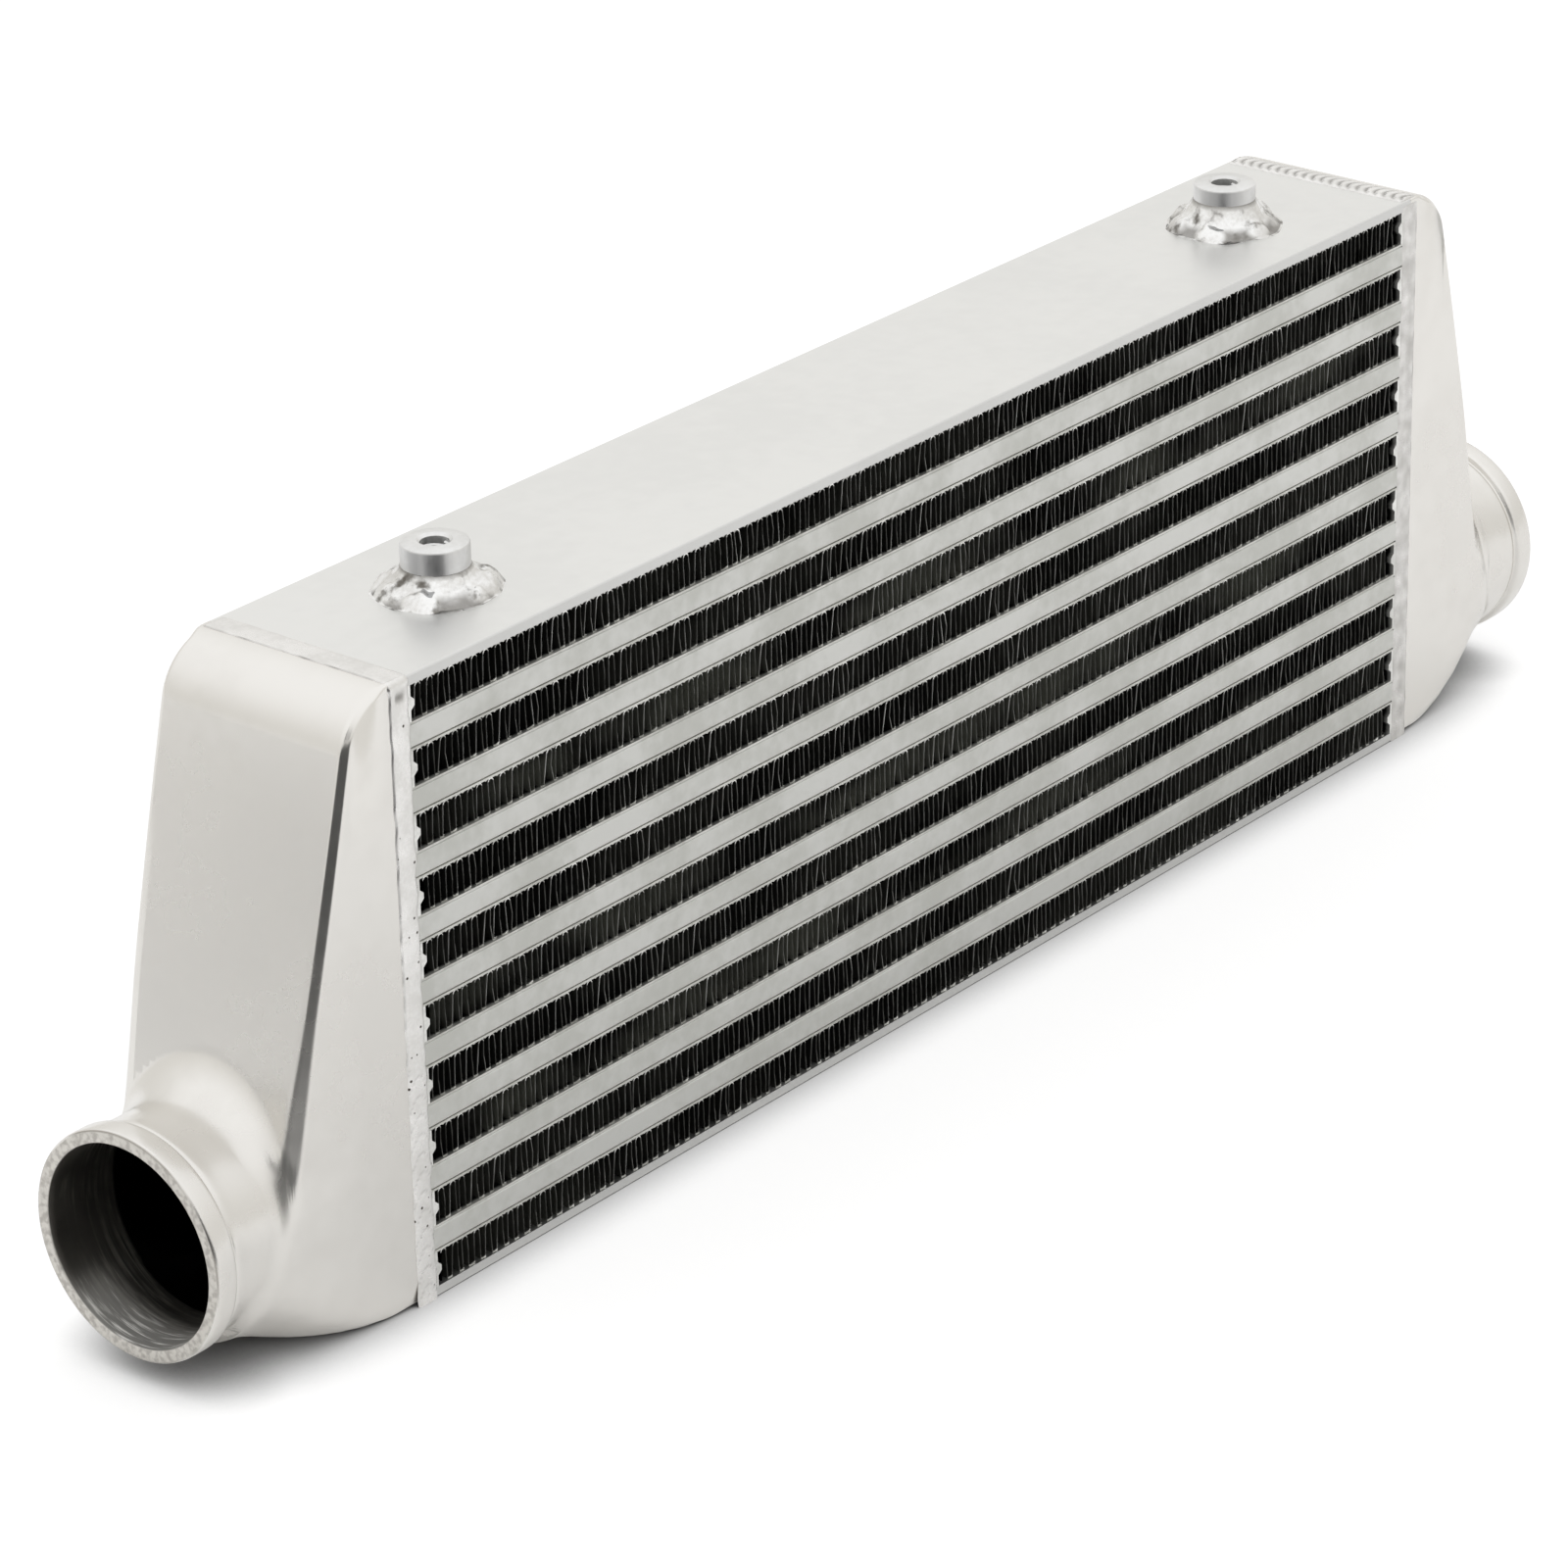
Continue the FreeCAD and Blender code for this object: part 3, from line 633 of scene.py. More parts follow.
# Core: bars, plates and sheets keep their solids, the fins get their real pitch
@dataclass
class FinRow:
    """One row of the outside-air fins: a strip folded up and down between two sheets."""

    node: str
    seed: int
    lit: float
    waves: int = 100
    gauge: float = 0.44 * MM
    crest_share: float = 0.2
    arch: float = 0.09
    wander: float = 0.085
    notch: float = 1.35 * MM
    filler_depth: float = 1.6 * MM
    points_per_notch: int = 10

    def fold(self) -> list[tuple[float, float]]:
        """One wave of the strip.

        Returns:
            Places along the wave, in waves, and up the row, from 0 to 1.
        """
        top = 1 - self.arch
        lean = 0.035
        base = self.arch * 0.4
        rise = [(self.crest_share + lean * step, base + (top - base) * step / 2) for step in range(3)]
        crest = [(0.5 - 0.13, 1 - self.arch * 0.22), (0.5, 1.0), (0.5 + 0.13, 1 - self.arch * 0.22)]
        fall = [(1 - across, up) for across, up in reversed(rise)]
        trough = [(1 - 0.2, self.arch * 0.15), (1.0, 0.0), (1 + 0.2, self.arch * 0.15)]
        return rise + crest + fall + trough

    def lay_filler(self, bm: bmesh.types.BMesh, low: Vector, high: Vector, front: bool) -> list:
        """Fill the corners between the crests and the sheet above with braze.

        Args:
            bm: Mesh of the row.
            low: Lower corner of the row.
            high: Upper corner of the row.
            front: Whether it is the front's filler or the rear's.

        Returns:
            The filler's points.
        """
        start = len(bm.verts)
        segments = self.waves * self.points_per_notch
        bmesh.ops.create_grid(bm, x_segments=segments, y_segments=1, size=1.0)
        bm.verts.ensure_lookup_table()
        pitch = (high.x - low.x) / self.waves
        face = low.y if front else high.y
        inward = self.filler_depth if front else -self.filler_depth
        added = bm.verts[start:]
        for vert in added:
            along = (vert.co.x + 1) / 2 * self.waves
            crest = 0.34
            off = abs((along - crest + 0.5) % 1.0 - 0.5) * 2
            drop = self.notch * (1 - math.sqrt(max(0.0, 1 - off * off))) + 0.03 * MM
            vert.co = (low.x + along * pitch, face, high.z - (drop if vert.co.y < 0 else 0.0))
        faces = {face for vert in added for face in vert.link_faces}
        grown = bmesh.ops.extrude_face_region(bm, geom=list(faces))
        moved = [item for item in grown["geom"] if isinstance(item, bmesh.types.BMVert)]
        bmesh.ops.translate(bm, verts=moved, vec=(0, inward, 0))
        return added + moved

    def build(self, material: bpy.types.Material) -> bpy.types.Object:
        """Fold the strip.

        Args:
            material: The fins' material.

        Returns:
            The piece.
        """
        low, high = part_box(self.node)
        draw = random.Random(self.seed)
        shape = self.fold()
        per_wave = len(shape)
        pitch = (high.x - low.x) / self.waves
        tall = high.z - low.z - self.gauge
        bm = bmesh.new()
        bmesh.ops.create_grid(bm, x_segments=self.waves * per_wave, y_segments=1, size=1.0)
        drift = [draw.gauss(0, self.wander) for _ in range(2 * self.waves + 3)]
        for vert in bm.verts:
            step = round((vert.co.x + 1) / 2 * self.waves * per_wave)
            wave, point = divmod(step, per_wave)
            across, up = shape[point]
            half_fold = 2 * wave + (1 if point > 7 else 0)
            sway = drift[half_fold] * (1 - up) + drift[half_fold + 1] * up
            x = low.x + (wave + across - 0.16 + sway) * pitch
            held = min(max(x, low.x + self.gauge), high.x - self.gauge)
            y = low.y if vert.co.y < 0 else high.y
            vert.co = (held, y, low.z + self.gauge / 2 + up * tall)
        bmesh.ops.solidify(bm, geom=bm.faces[:], thickness=self.gauge)
        bmesh.ops.recalc_face_normals(bm, faces=bm.faces[:])
        lit, braze, fall = (bm.verts.layers.float.new(name) for name in ("lit", "braze", "fall"))
        for vert in bm.verts:
            where = (vert.co.x - low.x) / pitch % 1.0
            # falling legs are marked for painted shade on their edges; lit rows get painted sheen
            vert[fall] = 0.85 if where > 0.42 else 0.0
            vert.co.z = min(max(vert.co.z, low.z), high.z)
            vert[lit] = self.lit
        for front in (True, False):
            filler = self.lay_filler(bm, low, high, front)
            for vert in filler:
                vert[braze] = 1.0
            faces = list({face for vert in filler for face in vert.link_faces})
            bmesh.ops.recalc_face_normals(bm, faces=faces)
        return finish_piece(f"{self.node}_folds", bm, material, (self.node,))


@dataclass
class Core:
    """The brazed core: its solids are dressed and its outside-air fins are folded anew."""

    rows: int = 10
    seed: int = 41
    lit_rows: tuple[int, ...] = (3, 5, 8)

    def dress(self) -> None:
        """Give each solid of the core its finish."""
        plain = {"bottom_cover_plate": PLATE, "top_cover_plate": PLATE, "parting_sheets": SHEET,
                 "left_end_bars": END_BAR, "right_end_bars": END_BAR}
        made = {finish.name: finish.build() for finish in (PLATE, BAR, END_BAR, SHEET, CHARGE)}
        for name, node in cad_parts.items():
            finish = plain.get(name)
            if "_bar_" in name:
                finish = BAR
            elif name.startswith("charge_fin"):
                finish = CHARGE
            if finish is not None:
                node.data.materials.clear()
                node.data.materials.append(made[finish.name])
                log.info("%s: dressed in %s", name, finish.name)

    def fold_fins(self) -> None:
        """Fold every row of fins."""
        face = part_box("ambient_fin_01")[1].y
        material = FinFinish("ambient_fin_strip", face=face).build()
        for row in range(1, self.rows + 1):
            lit = 1.0 if row in self.lit_rows else 0.3
            FinRow(f"ambient_fin_{row:02d}", self.seed + row, lit).build(material)


# End tanks
def rounded_max(first: np.ndarray, second: np.ndarray, radius: object) -> np.ndarray:
    """Where two forms overlap, with their outer edge rounded.

    Args:
        first: Distances from the first form.
        second: Distances from the second form.
        radius: Radius of the rounding.

    Returns:
        Distances from the common part.
    """
    corner = np.hypot(np.maximum(first + radius, 0), np.maximum(second + radius, 0))
    return np.minimum(np.maximum(first, second), -radius) + corner


def rounded_min(first: np.ndarray, second: np.ndarray, radius: object) -> np.ndarray:
    """Two forms joined, with their inner edge rounded.

    Args:
        first: Distances from the first form.
        second: Distances from the second form.
        radius: Radius of the rounding.

    Returns:
        Distances from the joined form.
    """
    corner = np.hypot(np.maximum(radius - first, 0), np.maximum(radius - second, 0))
    return np.maximum(np.minimum(first, second), radius) - corner


def ramp(value: np.ndarray, low: float, high: float) -> np.ndarray:
    """Smooth step from 0 at the low value to 1 at the high one."""
    held = np.clip((value - low) / (high - low), 0.0, 1.0)
    return held * held * (3 - 2 * held)


@dataclass
class Tank:
    """One cast end tank, laid out in rings round the spigot's axis. Its lengths are millimetres."""

    side: Side
    top_reach: float = 16.8
    foot_reach: float = 60.7
    roof_radius: float = 14.0
    wall: float = 3.5
    axis_up: float = 39.0
    neck: float = 31.0
    bore: float = 28.8
    bore_start: float = 15.0
    room_end: float = 50.5
    blend: float = 12.0
    side_blend: float = 4.0
    edge_legs: tuple[float, float] = (1.9, 3.4)
    edge_start: tuple[float, float] = (2.0, 9.0)
    edge_end: tuple[float, float] = (40.0, 50.0)
    edge_spread: tuple[float, float] = (55.0, 105.0)
    edge_softness: tuple[float, float] = (0.5, 3.0)
    edge_sharpens: tuple[float, float] = (42.0, 56.0)
    flush: float = 1.9
    flush_run: tuple[float, float] = (20.0, 56.0)
    foot_edge: float = 2.5
    foot_reaches: tuple[float, ...] = (0.0, 7.2, 17.0, 28.0, 38.0, 46.0, 53.0, 58.0, 90.0)
    foot_radii: tuple[float, ...] = (51.09, 51.09, 49.2, 46.0, 41.4, 36.6, 32.4, 31.0, 31.0)
    parts_per_turn: tuple[int, ...] = (16, 3, 5, 3, 22, 4, 3, 16)

    def __post_init__(self) -> None:
        """Take the casting's height, depth and place from the frame."""
        low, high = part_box("top_cover_plate")
        self.height = high.z / MM
        self.half_depth = high.y / MM
        self.core_end = high.x / MM
        self.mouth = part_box("right_tank")[1].x / MM - self.core_end
        self.slope = (self.foot_reach - self.top_reach) / self.height
        self.stretch = math.hypot(1, self.slope)
        self.roof_centre = self.foot_reach - self.slope * (self.height - self.roof_radius) \
            - self.roof_radius * self.stretch
        self.half_turn = sum(self.parts_per_turn)

    def foot_radius(self, x: np.ndarray) -> np.ndarray:
        """Radius of the turned foot about the spigot's axis, smoothed between its stations."""
        spread = np.linspace(-4.0, 4.0, 9)
        return sum(np.interp(x + shift, self.foot_reaches, self.foot_radii) for shift in spread) / len(spread)

    def edge_leg(self, up: np.ndarray) -> np.ndarray:
        """Leg of the bevel along the casting's front and rear edges, at some height."""
        narrow, wide = self.edge_legs
        return wide + (narrow - wide) * ramp(up, *self.edge_spread)

    def box_walls(self, points: np.ndarray) -> tuple[np.ndarray, np.ndarray]:
        """Distances from the sloping outer wall and from the turned foot.

        Args:
            points: Points with x measured out from the core.

        Returns:
            Both distances, below 0 in the casting.
        """
        x, y, z = points.T
        outer_wall = (x - self.foot_reach + self.slope * z) / self.stretch
        return outer_wall, np.hypot(y, np.minimum(z - self.axis_up, 0)) - self.foot_radius(x)

    def outer(self, points: np.ndarray) -> np.ndarray:
        """Distance from the outer skin, below 0 in the casting.

        Args:
            points: Points with x measured out from the core.

        Returns:
            The distances.
        """
        x, y, z = points.T
        across = np.abs(y)
        outer_wall, foot = self.box_walls(points)
        body = rounded_max(outer_wall, z - self.height, self.roof_radius)
        body = rounded_max(body, foot, self.foot_edge)
        body = rounded_max(body, -z, 1.0)
        flank = across - self.half_depth + self.flush * ramp(x, *self.flush_run)
        leg = self.edge_leg(z) * ramp(z, *self.edge_end) * ramp(x, *self.edge_start)
        crisp, soft = self.edge_softness
        softness = soft + (crisp - soft) * ramp(z, *self.edge_sharpens)
        cut = (body + flank + leg) / math.sqrt(2)
        body = rounded_max(rounded_max(body, cut, softness), flank, softness)
        pipe = np.hypot(y, z - self.axis_up) - self.neck
        turn = np.clip(1 - (across / (self.neck + 1.5)) ** 2, 0, 1)
        return np.maximum(rounded_min(body, pipe, self.side_blend + (self.blend - self.side_blend) * turn),
                          across - self.half_depth)

    def room(self, points: np.ndarray) -> np.ndarray:
        """Distance from the hollow of the box, below 0 in the hollow.

        Args:
            points: Points with x measured out from the core.

        Returns:
            The distances.
        """
        _, y, z = points.T
        outer_wall, foot = self.box_walls(points)
        walls = np.maximum(np.maximum(outer_wall, foot), np.maximum(z - self.height, -z))
        return np.maximum(walls, np.abs(y) - self.half_depth) + self.wall

    def reach(self, form: object, x: float, angles: np.ndarray) -> np.ndarray:
        """How far a form reaches from the spigot's axis at one place along it.

        Args:
            form: The form's distance function.
            x: Place along the axis.
            angles: Directions about the axis, from straight up.

        Returns:
            The radii.
        """
        low = np.zeros(len(angles))
        high = np.full(len(angles), 2 * self.height)
        for _ in range(34):
            middle = (low + high) / 2
            ring = np.stack([np.full(len(angles), x), middle * np.sin(angles),
                             self.axis_up + middle * np.cos(angles)], axis=1)
            within = form(ring) < 0
            low = np.where(within, middle, low)
            high = np.where(within, high, middle)
        return low

    def angles(self, x: float) -> np.ndarray:
        """Directions of a ring's points, gathered at the casting's edges.

        Args:
            x: Place of the ring along the spigot's axis.

        Returns:
            The directions over half a turn, from straight up to straight down.
        """
        held = min(x, self.room_end)
        run = min(max(held - self.roof_centre, 0.0), self.roof_radius)
        arc = self.height - self.roof_radius + math.sqrt(self.roof_radius ** 2 - run ** 2)
        on_wall = (self.foot_reach - held) / self.slope
        top = min(arc, on_wall) if run < self.roof_radius else on_wall
        steep = 1 / self.slope if on_wall <= arc or run >= self.roof_radius \
            else run / max(math.sqrt(self.roof_radius ** 2 - run ** 2), 1e-6)
        stretch = math.hypot(1, min(steep, 1 / self.slope))
        leg = max(self.edge_leg(top) * ramp(held, *self.edge_start), 0.5)
        deep, up = self.half_depth, top - self.axis_up
        corners = [(deep - leg - 0.9, up), (deep - leg + 0.3, up), (deep, up - (leg - 0.3) * stretch),
                   (deep, up - (leg + 0.9) * stretch)]
        stations = [0.0] + [min(math.atan2(*corner), math.radians(98.0 + index))
                            for index, corner in enumerate(corners)]
        stations += [math.radians(118.0), math.atan2(deep, 1.2 - self.axis_up),
                     math.atan2(deep - 1.2, -self.axis_up), math.pi]
        gathered = [0.0]
        for parts, start, end in zip(self.parts_per_turn, stations, stations[1:]):
            gathered += [start + (end - start) * (step + 1) / parts for step in range(parts)]
        even = np.linspace(0.0, math.pi, self.half_turn + 1)
        share = ramp(x, self.room_end, self.room_end + 7.0)
        return np.array(gathered) * (1 - share) + even * share

    def levels(self) -> list[tuple[str, float, float]]:
        """Rings of the casting from the core over the outside to the mouth and back inside.

        Returns:
            For each ring what it lies on, its place along the axis and its radius, if turned.
        """
        lean = math.atan2(1, self.slope)
        outside = [0.0, 1.5, 3.0, 4.5]
        outside += [self.roof_centre + self.roof_radius * math.sin(lean * step / 16) for step in range(17)]
        blend_centre = self.foot_reach - self.slope * (self.axis_up + self.neck + self.blend) \
            + self.blend * self.stretch
        wall_start = outside[-1]
        wall_end = blend_centre - self.blend * math.sin(lean)
        outside += [wall_start + (wall_end - wall_start) * (step + 1) / 44 for step in range(43)]
        outside += [blend_centre - self.blend * math.sin(lean * (18 - step) / 18) for step in range(19)]
        outside += [blend_centre + 1.6, blend_centre + 3.2, blend_centre + 4.8]
        rings = [("outside", x, 0.0) for x in outside]
        rings += [("lip", self.mouth - into, radius) for into, radius in self.lip_profile()]
        rings += [("bore", x, self.bore) for x in (66.0, 60.0, 55.0, 52.5)]
        room = (51.5, 50.5, 49.5, 48.5, 47.5, 46.5, 45.0, 42.0, 38.0, 34.0, 30.0, 26.0, 22.0, 18.0, 15.2, 14.8,
                10.0, 6.0, 3.0, 0.0)
        rings += [("room", x, 0.0) for x in room]
        return rings

    def lip_profile(self) -> list[tuple[float, float]]:
        """Half section of the mouth.

        Returns:
            How far in from the mouth and how far out from the axis each corner lies, outside first.
        """
        return [(15.6, 31.0), (13.4, 31.03), (11.8, 31.12), (10.6, 31.26), (9.8, 31.34), (9.3, 31.36),
                (8.85, 31.32), (8.5, 31.22), (8.2, 31.1), (7.9, 31.1), (7.6, 31.4), (7.25, 32.0), (6.95, 32.4),
                (6.5, 32.62), (5.8, 32.7), (3.4, 32.7), (1.1, 32.68), (0.5, 32.55), (0.15, 32.25), (0.0, 31.8),
                (0.0, 30.4), (0.0, 29.3), (0.12, 28.98), (0.5, 28.8), (3.0, 28.8)]

    def build(self, material: bpy.types.Material) -> bpy.types.Object:
        """Lay the rings and join them into one casting.

        Args:
            material: The casting's material.

        Returns:
            The piece.
        """
        rings = self.levels()
        steps = 2 * self.half_turn
        bm = bmesh.new()
        chain = [bm.verts.new((index, 0, 1)) for index in range(len(rings))]
        edges = [bm.edges.new(pair) for pair in zip(chain, chain[1:] + chain[:1])]
        bmesh.ops.spin(bm, geom=chain + edges, cent=(0, 0, 0), axis=(1, 0, 0), angle=2 * math.pi,
                       steps=steps, use_merge=True)
        table = np.zeros((len(rings), steps, 3))
        normals = np.zeros((len(rings), steps, 3))
        for index, (kind, x, radius) in enumerate(rings):
            half = self.angles(x)
            turn = np.concatenate([half, -half[-2:0:-1]])
            if kind == "outside":
                radii = self.reach(self.outer, x, turn)
            elif kind == "room":
                wide = self.reach(self.room, x, turn)
                radii = np.maximum(wide, self.bore if x > self.bore_start else 0.0)
            else:
                radii = np.full(steps, radius)
            table[index] = np.stack([np.full(steps, x), radii * np.sin(turn),
                                     self.axis_up + radii * np.cos(turn)], axis=1)
            if kind == "outside":
                normals[index] = self.slope_of_skin(table[index])
        marks = {name: bm.verts.layers.float.new(name) for name in CAST_MARKS}
        side = self.side.value
        smooth = []
        for vert in bm.verts:
            level = round(vert.co.x)
            step = round(math.atan2(vert.co.y, vert.co.z) / (2 * math.pi) * steps) % steps
            kind, x, radius = rings[level]
            place = table[level, step]
            vert.co = ((place[0] + self.core_end) * side * MM, place[1] * MM, max(place[2], 0.0) * MM)
            vert[marks["inside"]] = 1.0 if kind == "room" else 0.0
            on_lip = kind == "lip"
            in_bore = kind in ("bore", "room") or (on_lip and radius < self.bore + 0.1)
            vert[marks["bore"]] = 1.0 if in_bore else 0.0
            vert[marks["rim"]] = 1.0 if on_lip and x > self.mouth - 0.14 else 0.0
            vert[marks["seam"]] = 1.0 if on_lip and 0.1 < self.mouth - x < 0.3 and radius > self.neck else 0.0
            normal = normals[level, step]
            smooth.append((normal[0] * side, normal[1], normal[2]))
        bmesh.ops.recalc_face_normals(bm, faces=bm.faces[:])
        name = f"{self.side.word}_tank"
        return finish_piece(f"{name}_casting", bm, material, (name,), angle=45.0, normals=smooth)

    def slope_of_skin(self, points: np.ndarray) -> np.ndarray:
        """Outward directions of the skin.

        Args:
            points: Points on it.

        Returns:
            The directions, each of length 1.
        """
        slope = np.stack([self.outer(points + nudge) - self.outer(points - nudge)
                          for nudge in np.eye(3) * 0.05], axis=1)
        return slope / np.maximum(np.linalg.norm(slope, axis=1), 1e-9)[:, None]


# Welds
@dataclass
class TankWeld:
    """The bead that joins a tank to the core: up the front, over the top and down the rear."""

    side: Side
    front: WeldStyle
    top: WeldStyle
    rear: WeldStyle
    seed: int
    dull: float
    on_core: float = 4.4 * MM
    on_tank: float = 3.6 * MM
    rise: float = 0.95 * MM
    sink: float = 0.5 * MM
    corner: float = 2.0 * MM
    dime: float = 3.3 * MM
    step_up: float = 71.5 * MM
    step: float = 0.45 * MM
    around: int = 20

    def __post_init__(self) -> None:
        """Take the height, depth and place of the joint from the frame."""
        _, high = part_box("top_cover_plate")
        self.height = high.z
        self.half_depth = high.y
        self.core_end = high.x
        self.run = 2 * self.height + 2 * self.half_depth

    def style_at(self, along: float) -> WeldStyle:
        """The style of the run at a place along the bead."""
        if along < self.height:
            return self.front
        return self.top if along < self.height + 2 * self.half_depth else self.rear

    def relief(self, along: float, across: float) -> tuple[float, float, float]:
        """Shape of the bead at one place.

        Args:
            along: How far along the bead.
            across: Place across it, from -1 on the core to 1 on the tank.

        Returns:
            How far it stands proud, as a share of its rise, its width as a share, and how much it is darkened:
            painted shade in a groove or dent, or the dullness of ground metal.
        """
        style = self.style_at(along)
        wobble = noise.noise(Vector((along * 160, across * 1.5, self.seed)))
        dome = math.sqrt(max(0.0, 1 - across * across))
        edge = noise.noise(Vector((along * 190, 7.0 * (1 if across > 0 else -1), self.seed)))
        if style is WeldStyle.DIMES:
            phase = (along / self.dime + 0.75 * across * across) % 1.0
            ripple = min(phase / 0.82, (1 - phase) / 0.18)
            # the dark between the ripples is painted shade
            groove = max(1 - ripple * 2.1, 0.0) * max(1 - abs(across) ** 3, 0.0)
            return dome ** 0.7 * (0.38 + 0.58 * ripple + 0.05 * wobble), 0.97 + 0.05 * edge, groove
        flat = (1 - abs(across) ** 3.4) ** 0.5 if abs(across) < 1 else 0.0
        if style is WeldStyle.GROUND:
            mottle = noise.noise(Vector((along * 260, across * 1.4, self.seed * 3.1)))
            line = max((across - 0.80) / 0.20, 0.0) * max(0.55 + 1.1 * edge, 0.0)
            return flat * 0.14, 0.96 + 0.04 * edge, min(max(self.dull * (1 + 0.9 * mottle), line), 1.0)
        lower = min(max((self.step_up - along) / (1.5 * MM), 0.0), 1.0)
        phase = (along / (self.dime * 1.7) + 0.8 * across * across) % 1.0
        ripple = 0.16 * min(phase / 0.8, (1 - phase) / 0.2) * lower
        below_top = self.height - along
        blob = math.exp(-((below_top - 0.5 * MM) / (2.6 * MM)) ** 2)
        gap = math.exp(-((below_top - 4.8 * MM) / (1.3 * MM)) ** 2) * max(1 - abs(across / 0.6) ** 3, 0.0)
        swing = 0.05 + 0.05 * (across < 0)
        proud = flat * (0.70 + 0.14 * wobble + ripple + 0.3 * blob - 0.5 * gap)
        # the dark between ripples and in the dent below the top is painted shade
        groove = max(0.30 * lower * max(1 - 5.0 * min(phase / 0.8, (1 - phase) / 0.2), 0.0), 0.85 * gap)
        return proud, 0.90 + swing * 2 * edge + 0.1 * blob, groove

    def place(self, along: float, out: float) -> tuple[float, float]:
        """Carry a place along the bead onto the inverted U of the joint.

        Args:
            along: How far along the bead.
            out: How far out of the surface.

        Returns:
            Its y and z.
        """
        turn = self.corner * math.pi / 2
        first = self.height - self.corner
        if along < first:
            return -self.half_depth - out, along
        if along < first + turn:
            angle = (along - first) / self.corner
            reach = self.corner + out
            return (-self.half_depth + self.corner - reach * math.cos(angle),
                    self.height - self.corner + reach * math.sin(angle))
        return along - first - turn - self.half_depth + self.corner, self.height + out

    def build(self, material: bpy.types.Material) -> bpy.types.Object:
        """Lay the bead.

        Args:
            material: The weld's material.

        Returns:
            The piece.
        """
        turn = self.corner * (math.pi / 2 - 2)
        half_run = self.height + self.half_depth + turn
        steps = round(2 * half_run / self.step)
        bm = bmesh.new()
        bmesh.ops.create_grid(bm, x_segments=steps, y_segments=self.around, size=1.0)
        middle = self.core_end + (self.on_tank - self.on_core) / 2
        half_width = (self.on_tank + self.on_core) / 2
        mark = bm.verts.layers.float.new("groove")
        pitted = bm.verts.layers.float.new("pitted")
        for vert in bm.verts:
            along = (vert.co.x + 1) * half_run
            angle = (vert.co.y + 1) * math.pi
            across = math.cos(angle)
            proud, wide, groove = self.relief(along, across)
            vert[mark] = groove if math.sin(angle) > 0 else 0.0
            vert[pitted] = 1.0 if self.style_at(along) is WeldStyle.PITTED else 0.0
            out = proud * self.rise if math.sin(angle) > 0 else self.sink * math.sin(angle)
            behind = along > half_run
            y, z = self.place(2 * half_run - along if behind else along, out)
            x = middle + across * half_width * min(wide, 1.0)
            vert.co = (x * self.side.value, -y if behind else y, max(z, 0.0))
        bmesh.ops.remove_doubles(bm, verts=bm.verts[:], dist=0.005 * MM)
        bmesh.ops.holes_fill(bm, edges=[edge for edge in bm.edges if edge.is_boundary], sides=0)
        bmesh.ops.recalc_face_normals(bm, faces=bm.faces[:])
        name = f"{self.side.word}_tank_weld"
        return finish_piece(f"{name}_bead", bm, material, (name,), angle=60.0)


